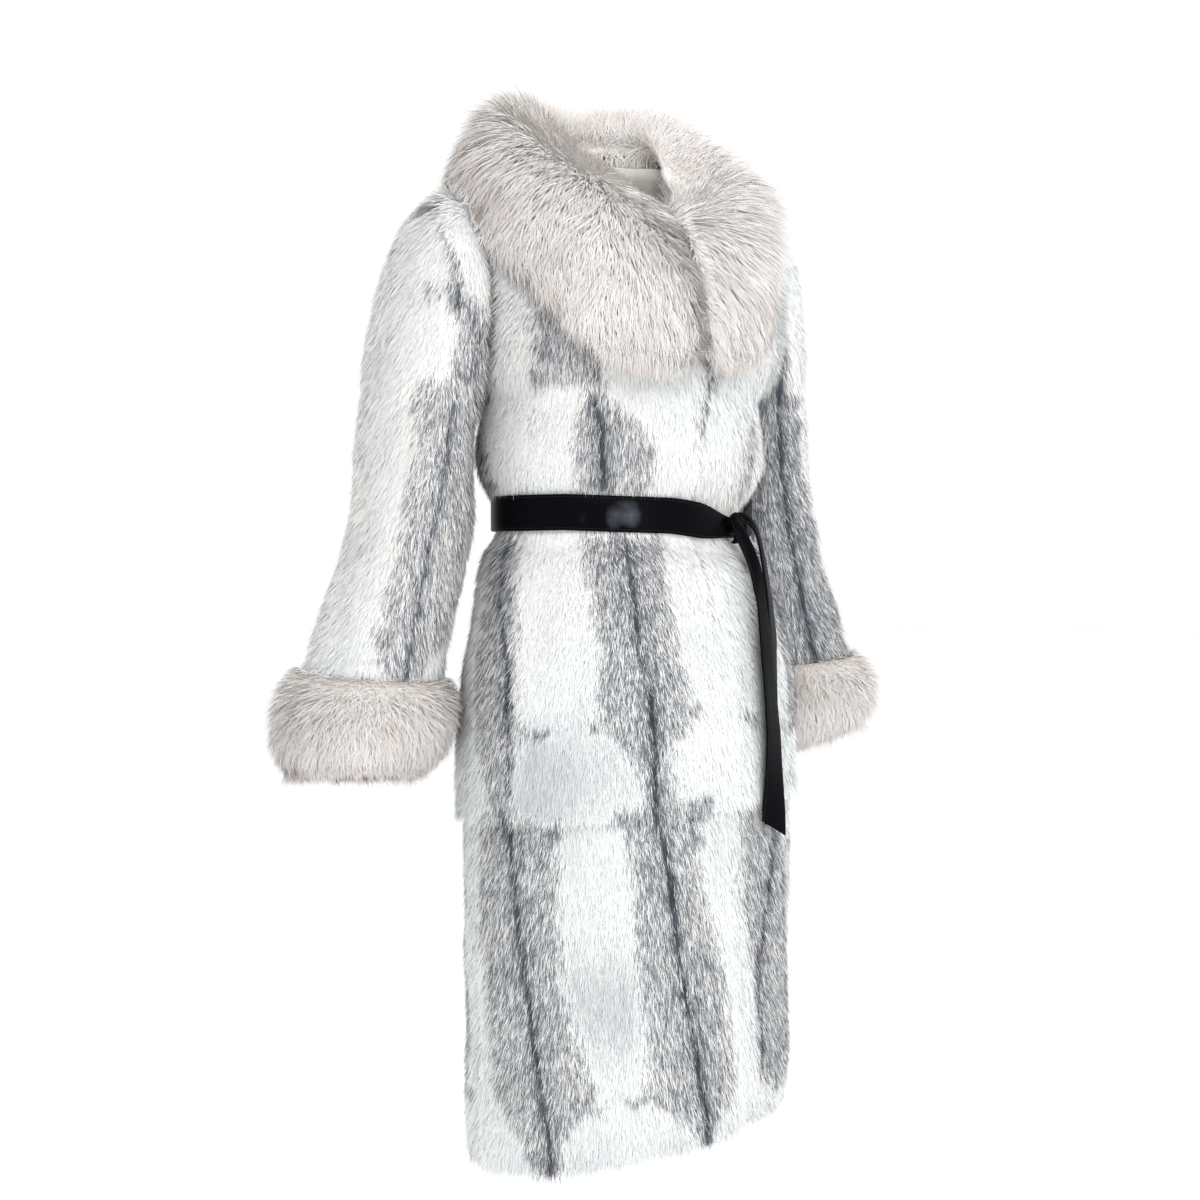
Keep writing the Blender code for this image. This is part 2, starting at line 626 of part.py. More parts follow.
def sleeve_panel(name, side, body_tree):
    """A tube of rings. Column 0 is at the shoulder tip and the columns run over the front."""
    around = 2 * ARMHOLE_ROWS
    panel = Panel(name, around, len(SLEEVE_RINGS))
    panel.flip = side > 0
    for i in range(around + 1):
        k = i % around
        rise = 1 - k / ARMHOLE_ROWS if k <= ARMHOLE_ROWS else (k - ARMHOLE_ROWS) / ARMHOLE_ROWS
        first = armhole_point(rise, k <= ARMHOLE_ROWS)
        panel.points[(k, 0)] = Vector((first.x * side, first.y, first.z))
        panel.depth[(k, 0)] = BODY_WALL
        for j, ring in enumerate(SLEEVE_RINGS, start=1):
            point = ring_point(ring, side, k / around)
            if abs(k / around - 0.5) < INNER_QUARTER:
                point = keep_clear(body_tree, point, SLEEVE_CLEAR)
            panel.points[(k, j)] = point
            panel.depth[(k, j)] = SLEEVE_WALL
    panel.cells = [(i, j) for i in range(around) for j in range(len(SLEEVE_RINGS))]
    panel.corners = lambda cell: sleeve_corners(cell, around, side)
    panel.pull = Vector((side * ARMHOLE_PULL, 0.0, 0.0))
    panel.seams = [(lambda node: node[1] == 0, (0, 1))]
    return panel


def sleeve_corners(cell, around, side):
    i, j = cell
    after = (i + 1) % around
    loop = [(i, j), (i, j + 1), (after, j + 1), (after, j)]
    return loop[::-1] if side > 0 else loop


def ring_frame(ring):
    """Centre and the two half-axes of a ring on the wearer's left."""
    outer = Vector((ring.outer_x, ring.y, ring.outer_z))
    inner = Vector((ring.inner_x, ring.y, ring.inner_z))
    return (outer + inner) / 2, (outer - inner) / 2, Vector((0.0, -ring.half_depth, 0.0))


def ring_point(ring, side, turn):
    """A point of a sleeve ring; turn 0 is on the outer side and a quarter turn is at the front."""
    centre, outward, forward = ring_frame(ring)
    phi = 2 * math.pi * turn
    power = 2.0 / SLEEVE_SQUARENESS
    across = math.copysign(abs(math.cos(phi)) ** power, math.cos(phi))
    along = math.copysign(abs(math.sin(phi)) ** power, math.sin(phi))
    point = centre + outward * across + forward * along
    point.x *= side
    return point


def keep_clear(tree, point, clearance):
    """The point itself, or the nearest place that stands clear of the body."""
    place, normal, _, _ = tree.find_nearest(point)
    if (point - place).dot(normal) >= clearance:
        return point
    return place + normal * clearance


# ---------------------------------------------------------------- cuffs

def make_cuff(name, side, sleeve, normals, body_tree, collection, material):
    """A fur ring below the sleeve's end: its top edge is made from the sleeve's own end points."""
    centre, outer_axis, front_axis = ring_frame(SLEEVE_RINGS[-1])
    centre.x *= side
    outer_axis.x *= side
    down = outer_axis.cross(front_axis).normalized()
    if down.z > 0:
        down = -down
    around = 2 * ARMHOLE_ROWS
    height = max(profile.drop for profile in CUFF_PROFILE)
    outer_end = [sleeve.points[(k, len(SLEEVE_RINGS))] for k in range(around)]
    inner_end = [point - normals[key_of(point)] * SLEEVE_WALL for point in outer_end]
    mesh = bmesh.new()
    rings = []
    for i in range(2 * around):
        first = i // 2
        second = (i + 1) // 2 % around
        top = [0.5 * (end[first] + end[second]) + down * CUFF_SEAM_DROP for end in (inner_end, outer_end)]
        rim = ring_point(SLEEVE_RINGS[-1], side, i / (2 * around))
        radial = rim - centre
        outward = radial.normalized()
        raised = -radial.y * math.tan(math.radians(CUFF_LEAN_DEG))
        if side > 0:
            raised += radial.x * math.tan(math.radians(LEFT_CUFF_OUTER_DEG))
        ring = [mesh.verts.new(point) for point in top]
        for profile in CUFF_PROFILE:
            share = profile.drop / height
            shift = Vector((side * CUFF_SHIFT_X * share, 0.0, raised * share))
            point = rim + outward * profile.out + down * profile.drop + shift
            if profile.out > 0:
                point = keep_clear(body_tree, point, CUFF_CLEAR)
            ring.append(mesh.verts.new(point))
        rings.append(ring)
    join_rings(mesh, rings, closed=True)
    return add_object(name, mesh, collection, material)


def join_rings(mesh, rings, closed):
    """Faces between neighbouring closed sections; open chains get a cap at each end."""
    count = len(rings)
    for i in range(count if closed else count - 1):
        here = rings[i]
        there = rings[(i + 1) % count]
        for j in range(len(here)):
            k = (j + 1) % len(here)
            mesh.faces.new([here[j], here[k], there[k], there[j]])
    if not closed:
        mesh.faces.new(rings[0])
        mesh.faces.new(rings[-1][::-1])


# ---------------------------------------------------------------- collar

def outer_tree(panels):
    points = []
    faces = []
    for panel in panels:
        index = {}
        for cell in panel.cells:
            face = []
            for node in panel.corners(cell):
                if node not in index:
                    index[node] = len(points)
                    points.append(panel.points[node])
                face.append(index[node])
            faces.append(face)
    return BVHTree.FromPolygons(points, faces)


def spline_points(controls, count):
    """Points evenly spread by chord along a smooth curve through the controls."""
    lengths = [0.0]
    for first, second in zip(controls, controls[1:]):
        lengths.append(lengths[-1] + (second - first).length)
    result = []
    for n in range(count):
        at = lengths[-1] * n / (count - 1)
        result.append(Vector([smooth_axis(lengths, [c[axis] for c in controls], at) for axis in range(3)]))
    return result


def smooth_axis(xs, ys, x):
    """Catmull-Rom through unevenly spaced controls."""
    k = max(i for i in range(len(xs) - 1) if xs[i] <= x or i == 0)

    def slope(i):
        low = max(0, i - 1)
        high = min(len(xs) - 1, i + 1)
        return (ys[high] - ys[low]) / (xs[high] - xs[low])

    width = xs[k + 1] - xs[k]
    t = (x - xs[k]) / width
    rise = t * t * (3 - 2 * t)
    return (ys[k] * (1 - rise) + ys[k + 1] * rise
            + width * (slope(k) * t * (1 - t) ** 2 - slope(k + 1) * t * t * (1 - t)))


def on_body(tree, guess, clearance):
    place, normal, _, _ = tree.find_nearest(guess)
    return place + normal * clearance


def neckline_path(panels):
    """The neckline as (angle round the neck's axis, point), from centre back round by the right."""
    right, left, back = panels
    path = []
    for front, side in ((right, -1), (left, 1)):
        top = max(j for i, j in front.points if i == FRONT_COLUMNS)
        rows = range(front.lap_rows, top + 1)
        half = [front.points[(FRONT_COLUMNS, j)] for j in rows]
        half += [Vector((side * point.x, point.y, point.z)) for point in BACK_NECK_POINTS]
        path += half[::-1] if side < 0 else half[1:]
    return [(math.degrees(math.atan2(point.x, NECK_AXIS_Y - point.y)), point) for point in path]


def neckline_point(path, deg):
    """Where the body's neckline crosses the upright plane at an angle round the neck's axis."""
    for (low, first), (high, second) in zip(path, path[1:]):
        if low <= deg <= high:
            return first.lerp(second, (deg - low) / max(1e-6, high - low))
    return path[0][1].lerp(path[-1][1], 0.5)


def collar_section(tree, path, deg):
    """One section, in the upright plane at an angle round the neck's axis: top, then underside."""
    station = table_row(COLLAR, "deg", abs(deg))
    left = bump(deg - LEFT_COLLAR_MIDDLE, LEFT_COLLAR_REACH) if deg > 0 else 0.0
    phi = math.radians(deg)
    out = Vector((math.sin(phi), -math.cos(phi), 0.0))
    axis = Vector((0.0, NECK_AXIS_Y, 0.0))

    def at(radius, z):
        return axis + out * radius + Vector((0, 0, z))

    def past_crest(radius, z, narrow, rise):
        spread = mix(1.0, narrow, left)
        return at(station.crest_r + (radius - station.crest_r) * spread, z + rise * left)

    rim = neckline_point(path, deg)
    rim_r = Vector((rim.x, rim.y - NECK_AXIS_Y, 0.0)).length
    base = on_body(tree, at(rim_r + COLLAR_OVERLAP, rim.z), COLLAR_SEAT)
    lip = at(rim_r - 0.5 * COLLAR_OVERLAP, rim.z + COLLAR_LIP_RISE)
    neck = at(station.neck_r - 0.5 * LEFT_CREST_IN * left,
              max(station.neck_z, rim.z + 2 * COLLAR_LIP_RISE))
    crest = at(station.crest_r - LEFT_CREST_IN * left, station.crest_z - LEFT_COLLAR_DROP * left)
    edge = past_crest(station.edge_r, station.edge_z, LEFT_EDGE_NARROW, LEFT_EDGE_RISE)
    below, _, _, _ = tree.ray_cast(edge + Vector((0, 0, COLLAR_DROP_TEST)), Vector((0, 0, -1)))
    if below is not None:
        edge.z = max(edge.z, below.z + COLLAR_EDGE_RISE)
    edge_foot = on_body(tree, edge, COLLAR_SEAT)
    controls = [base, lip, neck, crest,
                past_crest(station.upper_r, station.upper_z, LEFT_ROLL_NARROW, -LEFT_COLLAR_DROP),
                past_crest(station.bulge_r, station.bulge_z, LEFT_ROLL_NARROW, 0.0), edge, edge_foot]
    section = spline_points(controls, COLLAR_TOP_POINTS)
    for n in range(1, COLLAR_UNDER_POINTS + 1):
        share = n / (COLLAR_UNDER_POINTS + 1)
        guess = edge_foot.lerp(base, share) + (out + Vector((0, 0, 1))) * COLLAR_GUESS_LIFT
        section.append(on_body(tree, guess, COLLAR_SEAT))
    return section


def ease_off(tree, sections):
    """Lift the underside wherever a face between its points would come too near the body."""
    count = COLLAR_TOP_POINTS + COLLAR_UNDER_POINTS
    shares = [n / EASE_SAMPLES for n in range(EASE_SAMPLES + 1)]
    for _ in range(EASE_ROUNDS):
        for here, there in zip(sections, sections[1:]):
            for a in range(COLLAR_TOP_POINTS - 1, count):
                b = (a + 1) % count
                for u in shares:
                    for v in shares:
                        sample = here[a].lerp(here[b], u).lerp(there[a].lerp(there[b], u), v)
                        place, normal, _, _ = tree.find_nearest(sample)
                        short = COLLAR_SEAT - (sample - place).dot(normal)
                        if short > 0:
                            for corner in (here[a], here[b], there[a], there[b]):
                                corner += normal * short


def make_collar(tree, path, collection, material):
    """Sections from the right front end, round the back, to the left front end."""
    first = COLLAR_MEET_DEG - COLLAR_END_GAP_DEG
    last = COLLAR_MEET_DEG + COLLAR_END_GAP_DEG - 360.0
    sections = []
    for n in range(COLLAR_STEPS + 1):
        deg = angle_apart(mix(first, last, n / COLLAR_STEPS), 0.0)
        sections.append(collar_section(tree, path, deg))
    ease_off(tree, sections)
    mesh = bmesh.new()
    rings = [[mesh.verts.new(point) for point in section] for section in sections]
    join_rings(mesh, rings, closed=False)
    return add_object("collar", mesh, collection, material)


# ---------------------------------------------------------------- belt

def belt_point(deg, rise, out):
    """A point of the belt: rise above its middle line, out from the waist's face."""
    waist = next(section for section in UPPER_TIER if section.z == BELT_Z)
    phi = math.radians(deg)
    reach = waist.front + waist.side_y if abs(deg) <= 90 else waist.back - waist.side_y
    point = Vector((waist.half_width * math.sin(phi), waist.side_y - reach * math.cos(phi),
                    BELT_Z + belt_dip(deg) + rise))
    return lift(point, waist.side_y, out)


def make_belt(collection, material):
    """A flat strap that closes on itself behind the knot."""
    near = BELT_CLEAR
    far = BELT_CLEAR + BELT_THICK
    half = BELT_WIDTH / 2
    mesh = bmesh.new()
    rings = []
    for n in range(BELT_STEPS):
        deg = angle_apart(360.0 * n / BELT_STEPS, 0.0)
        corners = [(-half, near), (-half, far), (0.0, far + BELT_CROWN), (half, far), (half, near)]
        rings.append([mesh.verts.new(belt_point(deg, rise, out)) for rise, out in corners])
    join_rings(mesh, rings, closed=True)
    return add_object("belt", mesh, collection, material)


def knot_axes():
    phi = math.radians(KNOT_DEG)
    waist = next(section for section in UPPER_TIER if section.z == BELT_Z)
    outward = Vector((math.sin(phi) / waist.half_width, -math.cos(phi) / waist.front, 0.0)).normalized()
    return outward, Vector((-outward.y, outward.x, 0.0))


def make_knot(collection, material):
    """A rounded block of folded strap on the belt's outer face."""
    outward, along = knot_axes()
    seat = belt_point(KNOT_DEG, 0.0, BELT_CLEAR + BELT_THICK + BELT_CROWN + TIER_GAP)
    mesh = bmesh.new()
    bmesh.ops.create_cube(mesh, size=1.0)
    bmesh.ops.scale(mesh, vec=(KNOT_WIDTH, KNOT_DEPTH, KNOT_HEIGHT), verts=mesh.verts)
    item = add_object("belt_knot", mesh, collection, material)
    item.location = seat + outward * KNOT_DEPTH / 2
    item.rotation_euler = (0.0, 0.0, math.atan2(along.y, along.x))
    bevel = item.modifiers.new("rounding", "BEVEL")
    bevel.width = KNOT_ROUNDING
    bevel.segments = KNOT_ROUND_STEPS
    return item


def make_tail(name, trees, tail, collection, material):
    """A flat strap that hangs from the knot, never nearer the axis than where it last touched."""
    top = BELT_Z + belt_dip(KNOT_DEG) - KNOT_HEIGHT / 2 - TIER_GAP
    step = tail.length / TAIL_STEPS
    mesh = bmesh.new()
    rings = []
    radius = 0.0
    for n in range(TAIL_STEPS + 1):
        share = n / TAIL_STEPS
        z = top - tail.length * share
        deg = smooth_value(TAIL_TURNS, [KNOT_DEG, tail.deg_mid, tail.deg_low, tail.deg_low], share)
        phi = math.radians(deg)
        out = Vector((math.sin(phi), -math.cos(phi), 0.0))
        for near_z in (z - step, z - step / 2, z, z + step / 2):
            hits = [tree.ray_cast(out + Vector((0, 0, near_z)), -out)[0] for tree in trees]
            radius = max([radius] + [Vector((hit.x, hit.y, 0.0)).length for hit in hits if hit])
        middle = out * (radius + tail.out) + Vector((0, 0, z))
        face = Vector((out.x * FACE_SQUASH, out.y, 0.0)).normalized()
        across = Vector((-face.y, face.x, 0.0))
        normal = Vector((across.y, -across.x, 0.0))
        drop = Vector((0, 0, -TAIL_POINT_DROP)) if n == TAIL_STEPS else Vector((0, 0, 0))
        half = tail.width / 2
        rings.append([mesh.verts.new(middle - across * half),
                      mesh.verts.new(middle + across * half + drop),
                      mesh.verts.new(middle + across * half + normal * TAIL_THICK + drop),
                      mesh.verts.new(middle - across * half + normal * TAIL_THICK)])
    join_rings(mesh, rings, closed=False)
    return add_object(name, mesh, collection, material)


# ---------------------------------------------------------------- materials and assembly

def make_material(name, color, roughness):
    material = bpy.data.materials.new(name)
    material.use_nodes = True
    shader = material.node_tree.nodes["Principled BSDF"]
    shader.inputs["Base Color"].default_value = (*color, 1.0)
    shader.inputs["Roughness"].default_value = roughness
    shader.inputs["Metallic"].default_value = 0.0
    return material


def build():
    for item in list(bpy.data.objects):
        bpy.data.objects.remove(item, do_unlink=True)
    collection = bpy.data.collections.new("fur_coat")
    bpy.context.scene.collection.children.link(collection)
    short_fur = make_material("short_fur", (0.62, 0.63, 0.63), 0.85)
    fox_fur = make_material("fox_fur", (0.70, 0.62, 0.58), 0.85)
    leather = make_material("belt_leather", (0.010, 0.010, 0.014), 0.45)

    upper = upper_panels()
    body_tree = outer_tree(upper)
    sleeves = [sleeve_panel("sleeve_right", -1, body_tree), sleeve_panel("sleeve_left", 1, body_tree)]
    lower = lower_panels()
    for group in (lower, upper + sleeves):
        normals = shared_normals(group)
        add_underlap(group[1], group[0], normals, group[1].lap_rows)
        normals = shared_normals([group[1]]) | normals
        for panel in group:
            make_wall(panel, normals, collection, short_fur)
    for name, side, sleeve in (("cuff_right", -1, sleeves[0]), ("cuff_left", 1, sleeves[1])):
        make_cuff(name, side, sleeve, normals, body_tree, collection, fox_fur)
    yoke_tree = outer_tree(upper + sleeves)
    make_collar(yoke_tree, neckline_path(upper), collection, fox_fur)
    make_belt(collection, leather)
    make_knot(collection, leather)
    trees = [outer_tree(upper), outer_tree(lower)]
    for name, tail in TAILS:
        make_tail(name, trees, tail, collection, leather)


build()
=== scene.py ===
"""The looks of the fur coat: skins with a satin lining, short fur, fox collar and cuffs, leather belt.

Everything is in metres in the row frame: +Z up, the coat faces -Y, the wearer's left is +X. Each
CAD node gives the form of its piece. A skin is a thin closed sheet a pile's height behind the
node's outer face; its fur is one mesh of tapered blades whose tips reach that face.

Angles are in degrees. Round the body they run from the centre front, with the wearer's left
positive; round a sleeve 0 is its outside, 90 its front and 180 its inside. A side is 0 for the
body, -1 for the right sleeve and 1 for the left one.
"""
import math

import bmesh
import bpy
import numpy as np
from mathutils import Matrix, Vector
from mathutils.bvhtree import BVHTree
from mathutils.kdtree import KDTree


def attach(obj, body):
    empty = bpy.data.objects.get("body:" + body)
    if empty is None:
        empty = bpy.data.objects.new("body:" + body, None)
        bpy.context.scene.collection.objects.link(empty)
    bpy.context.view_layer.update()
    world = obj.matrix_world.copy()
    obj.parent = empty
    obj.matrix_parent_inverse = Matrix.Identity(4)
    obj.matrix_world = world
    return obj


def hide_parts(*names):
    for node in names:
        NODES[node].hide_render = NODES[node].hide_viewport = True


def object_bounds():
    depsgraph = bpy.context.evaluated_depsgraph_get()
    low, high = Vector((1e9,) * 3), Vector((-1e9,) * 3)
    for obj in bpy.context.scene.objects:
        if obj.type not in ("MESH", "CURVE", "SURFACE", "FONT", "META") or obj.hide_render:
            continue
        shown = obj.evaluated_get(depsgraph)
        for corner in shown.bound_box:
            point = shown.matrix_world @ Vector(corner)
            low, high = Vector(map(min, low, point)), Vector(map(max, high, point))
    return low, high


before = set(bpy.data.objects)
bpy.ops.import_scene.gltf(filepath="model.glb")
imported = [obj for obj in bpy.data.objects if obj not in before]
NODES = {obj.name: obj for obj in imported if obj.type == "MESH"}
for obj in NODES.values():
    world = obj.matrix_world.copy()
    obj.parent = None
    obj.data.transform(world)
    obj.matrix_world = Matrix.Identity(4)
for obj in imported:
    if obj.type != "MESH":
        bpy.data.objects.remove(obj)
CAD_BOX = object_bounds()
FEWER, WIDER = ((1, 1.0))

# ---- camera

VIEW_DEG = 32.0             # the camera stands this far round to the wearer's right
VIEW_DISTANCE = 2.2
VIEW_HEIGHT = -0.375
VIEW_PITCH_DEG = 2.7
FOCAL_PX = 1936.0
FRAME_PX = 1200.0
AXIS_PX = 28.0              # the body's axis lies this far right of the frame's middle
SENSOR_MM = 36.0


def put_in_scene(name, data):
    item = bpy.data.objects.new(name, data)
    bpy.context.scene.collection.objects.link(item)
    return item


def aim(item, place, forward):
    item.location = place
    item.rotation_mode = "QUATERNION"
    item.rotation_quaternion = forward.to_track_quat("-Z", "Y")


def make_camera():
    place = math.radians(VIEW_DEG)
    turn = place - math.atan(AXIS_PX / FOCAL_PX)
    pitch = math.radians(VIEW_PITCH_DEG)
    forward = Vector((math.sin(turn) * math.cos(pitch), math.cos(turn) * math.cos(pitch), -math.sin(pitch)))
    data = bpy.data.cameras.new("camera")
    data.sensor_width = SENSOR_MM
    data.lens = SENSOR_MM * FOCAL_PX / FRAME_PX
    item = put_in_scene("camera", data)
    aim(item, (-math.sin(place) * VIEW_DISTANCE, -math.cos(place) * VIEW_DISTANCE, VIEW_HEIGHT), forward)
    bpy.context.scene.camera = item


make_camera()

# ---- small maths

DOWN = np.array([0.0, 0.0, -1.0])
UP = np.array([0.0, 0.0, 1.0])


def unit(vectors):
    return vectors / np.maximum(np.linalg.norm(vectors, axis=-1, keepdims=True), 1e-9)


def smoothstep(x):
    x = np.clip(x, 0.0, 1.0)
    return x * x * (3 - 2 * x)


def fade(x, start, width):
    """0 at start, 1 a width further on and smooth between; below start where width is negative."""
    return smoothstep((x - start) / width)


def bell(x):
    return np.exp(-x ** 2)


def turned(deg):
    """Angles brought between -180 and 180."""
    return (deg + 180) % 360 - 180


def dot(a, b):
    return (a * b).sum(-1)


def in_surface(vectors, normals):
    """The part of each vector that lies along the surface."""
    return vectors - normals * dot(vectors, normals)[:, None]


def swung(flows, normals, angle):
    """Unit vectors along the surface, swung round by an angle in radians."""
    side = np.cross(normals, flows)
    return unit(flows * np.cos(angle)[:, None] + side * np.sin(angle)[:, None])


def distances_along(path):
    return np.concatenate([[0.0], np.cumsum(np.linalg.norm(np.diff(path, axis=0), axis=1))])


LATTICE = 32
LATTICE_VALUES = np.random.default_rng(11).random((LATTICE, LATTICE, LATTICE, 3)) * 2 - 1


def noise(points, scale):
    """Three smooth random values from -1 to 1 at each point; scale is the size of a lump."""
    q = points / scale
    base = np.floor(q).astype(int)
    part = q - base
    part = part * part * (3 - 2 * part)
    total = np.zeros((len(points), 3))
    for corner in np.ndindex(2, 2, 2):
        weight = np.where(corner, part, 1 - part).prod(1)
        total += weight[:, None] * LATTICE_VALUES[tuple(((base + corner) % LATTICE).T)]
    return total


# ---- the body and the sleeves

AXIS_BACK = 0.04            # the body's axis moves back by this between the waist and the chest
AXIS_LOW = -0.45
AXIS_RISE = 0.2
CHEST_Z = -0.26
BODY_DEEP = 0.82            # the body's sections are this deep for a width of 1
BODY_LEAN = 0.67            # the square of that, by which their normals turn forward and back
SLEEVE_REACH = (0.062, 0.088)   # half width and half depth of a sleeve
ARM_LINE = [Vector(p) for p in ((0.196, 0.054, -0.130), (0.233, 0.080, -0.345), (0.2805, 0.083, -0.555))]


def axis_y(z):
    return AXIS_BACK * np.clip((z - AXIS_LOW) / AXIS_RISE, 0.0, 1.0)


def body_away(p):
    """Away from the wearer's middle, at the point's height or at most at the chest's."""
    q = p - Vector((0.0, axis_y(p.z), min(p.z, CHEST_Z)))
    return Vector((q.x * BODY_LEAN, q.y, q.z)).normalized()


def body_angle(points):
    x, y, z = points.T
    return np.degrees(np.arctan2(x * BODY_DEEP, -(y - axis_y(z))))


def arm_line(side):
    """The centre line of a sleeve: its top, elbow and end."""
    return [Vector((v.x * side, v.y, v.z)) for v in ARM_LINE]


def arm_away(p):
    """Away from the nearest point of the sleeve's centre line."""
    top, elbow, end = arm_line(1.0 if p.x > 0 else -1.0)
    near = []
    for a, b in ((top, elbow), (elbow, end)):
        share = min(1.0, max(0.0, (p - a).dot(b - a) / (b - a).length_squared))
        near.append(a.lerp(b, share))
    return (p - min(near, key=lambda q: (p - q).length)).normalized()


def sleeve_angle(points, side):
    a, b, c = (np.array(v[:]) for v in arm_line(side))
    z = points[:, 2]
    upper = np.clip((a[2] - z) / (a[2] - b[2]), -0.6, 1)
    lower = np.clip((b[2] - z) / (b[2] - c[2]), 0, 1)
    off = points - (a + (b - a) * upper[:, None] + (c - b) * lower[:, None])
    return np.degrees(np.arctan2(-off[:, 1] / SLEEVE_REACH[1], off[:, 0] * side / SLEEVE_REACH[0]))


# ---- surfaces from the CAD nodes

REGION_DEG = 58.0           # an edge sharper than this ends a region
QUAD_DEG = (35.0, 70.0)     # how far two triangles may bend and skew and still make a quad
HEM_BACK = 0.006            # a skin stops this far short of its free edge
HEM_FACING = 0.6
NECK_RIM_Z = -0.16          # above this a panel's edge at the neck is bound in lining
MERGE = 2e-5


def node_bmesh(name):
    mesh = bmesh.new()
    mesh.from_mesh(NODES[name].data)
    bmesh.ops.remove_doubles(mesh, verts=mesh.verts, dist=MERGE)
    mesh.normal_update()
    return mesh


def node_trees(names):
    trees = []
    for name in names:
        mesh = node_bmesh(name)
        trees.append(BVHTree.FromBMesh(mesh))
        mesh.free()
    return trees


def any_hit(trees, place, way, reach):
    return any(tree.ray_cast(place, way, reach)[0] is not None for tree in trees)


def outer_region(mesh, away):
    """The smooth region of a wall that faces away from the wearer the most."""
    best = None
    seen = set()
    limit = math.radians(REGION_DEG)
    for seed in mesh.faces:
        if seed in seen:
            continue
        seen.add(seed)
        queue = [seed]
        region = []
        while queue:
            face = queue.pop()
            region.append(face)
            for edge in face.edges:
                if len(edge.link_faces) == 2 and edge.calc_face_angle() < limit:
                    for other in edge.link_faces:
                        if other not in seen:
                            seen.add(other)
                            queue.append(other)
        score = sum(f.calc_area() * f.normal.dot(away(f.calc_center_median())) for f in region)
        if best is None or score > best[0]:
            best = (score, region)
    return set(best[1])


def cut_to(mesh, keep):
    """Leaves only the faces in keep, as quads where two triangles make one."""
    bmesh.ops.delete(mesh, geom=[f for f in mesh.faces if f not in keep], context="FACES")
    bend, skew = (math.radians(deg) for deg in QUAD_DEG)
    bmesh.ops.join_triangles(mesh, faces=mesh.faces, angle_face_threshold=bend, angle_shape_threshold=skew)


def read_vectors(things, key):
    values = np.empty(len(things) * 3)
    things.foreach_get(key, values)
    return values.reshape(-1, 3)


class Surface:
    """A smooth surface as arrays: points, unit normals, faces, triangles and the edges of its border."""

    def __init__(self, mesh, levels):
        data = bpy.data.meshes.new("temporary")
        mesh.to_mesh(data)
        item = put_in_scene("temporary", data)
        modifier = item.modifiers.new("smooth", "SUBSURF")
        modifier.levels = levels
        modifier.boundary_smooth = "PRESERVE_CORNERS"
        modifier.use_limit_surface = False
        shaped = item.evaluated_get(bpy.context.evaluated_depsgraph_get()).to_mesh()
        self.points = read_vectors(shaped.vertices, "co")
        self.normals = unit(read_vectors(shaped.vertices, "normal"))
        self.faces = [tuple(f.vertices) for f in shaped.polygons]
        shaped.calc_loop_triangles()
        self.triangles = np.array([t.vertices[:] for t in shaped.loop_triangles])
        edges = {}
        for face in self.faces:
            for a, b in zip(face, face[1:] + face[:1]):
                edges[(a, b)] = face
        self.border = [(a, b, face) for (a, b), face in edges.items() if (b, a) not in edges]
        bpy.data.objects.remove(item, do_unlink=True)
        bpy.data.meshes.remove(data)

    def middle_of(self, face):
        return self.points[list(face)].mean(0)

    def hem(self):
        """Border points where the surface ends downwards."""
        found = set()
        for a, b, face in self.border:
            outwards = (self.points[a] + self.points[b]) / 2 - self.middle_of(face)
            if dot(unit(outwards), DOWN) > HEM_FACING:
                found |= {a, b}
        return sorted(found)


def distance_to(points, places):
    """How far each point is from the nearest place; 1 m where there is none."""
    if not len(places):
        return np.full(len(points), 1.0)
    tree = KDTree(len(places))
    for i, place in enumerate(places):
        tree.insert(place, i)
    tree.balance()
    return np.array([tree.find(p)[2] for p in points])


# ---- meshes


def new_object(name, points, faces, materials, smooth=True):
    data = bpy.data.meshes.new(name)
    data.from_pydata([tuple(p) for p in points], [], faces)
    data.polygons.foreach_set("use_smooth", [smooth] * len(data.polygons))
    for material in materials:
        data.materials.append(material)
    return put_in_scene(name, data)


def set_slots_and_tone(data, slots, tone):
    """Material slots of the faces, and the tone that the materials read at the points."""
    data.polygons.foreach_set("material_index", slots)
    layer = data.attributes.new("tone", "FLOAT", "POINT")
    layer.data.foreach_set("value", np.asarray(tone, dtype=np.float32))


def make_skin(name, surface, depth, thick, tone, materials, hem=()):
    """A closed sheet: its outer side lies depth behind the surface and its lining thick behind that."""
    points = surface.points.copy()
    if len(hem):
        neighbours = {}
        for a, b, face in surface.border:
            for v in (a, b):
                neighbours.setdefault(v, []).append(surface.middle_of(face))
        for v in hem:
            inward = unit(np.mean(neighbours[v], axis=0) - points[v])
            points[v] = points[v] + inward * HEM_BACK
    outer = points - surface.normals * np.asarray(depth).reshape(-1, 1)
    inner = outer - surface.normals * np.asarray(thick).reshape(-1, 1)
    count = len(points)
    faces = list(surface.faces) + [tuple(v + count for v in reversed(f)) for f in surface.faces]
    faces += [(b, a, a + count, b + count) for a, b, _ in surface.border]
    item = new_object(name, np.vstack([outer, inner]), faces, materials)
    plain = len(surface.faces)
    rim = [1 if surface.points[a][2] > NECK_RIM_Z else 0 for a, _, _ in surface.border]
    set_slots_and_tone(item.data, [0] * plain + [1] * plain + rim, np.concatenate([tone, tone]))
    item.data.update()
    return item


TAPER = {1: (1.0,), 2: (0.8, 1.0)}      # a blade's width at each row before its tip, by its segments
ROLL = 0.42                 # how far blades turn about their own length, in radians
PATCH = 0.004               # a blade's half width in the palette
PALETTE_TIP = 0.94          # its length there, and the margin before it
PALETTE_ROOT = 0.03


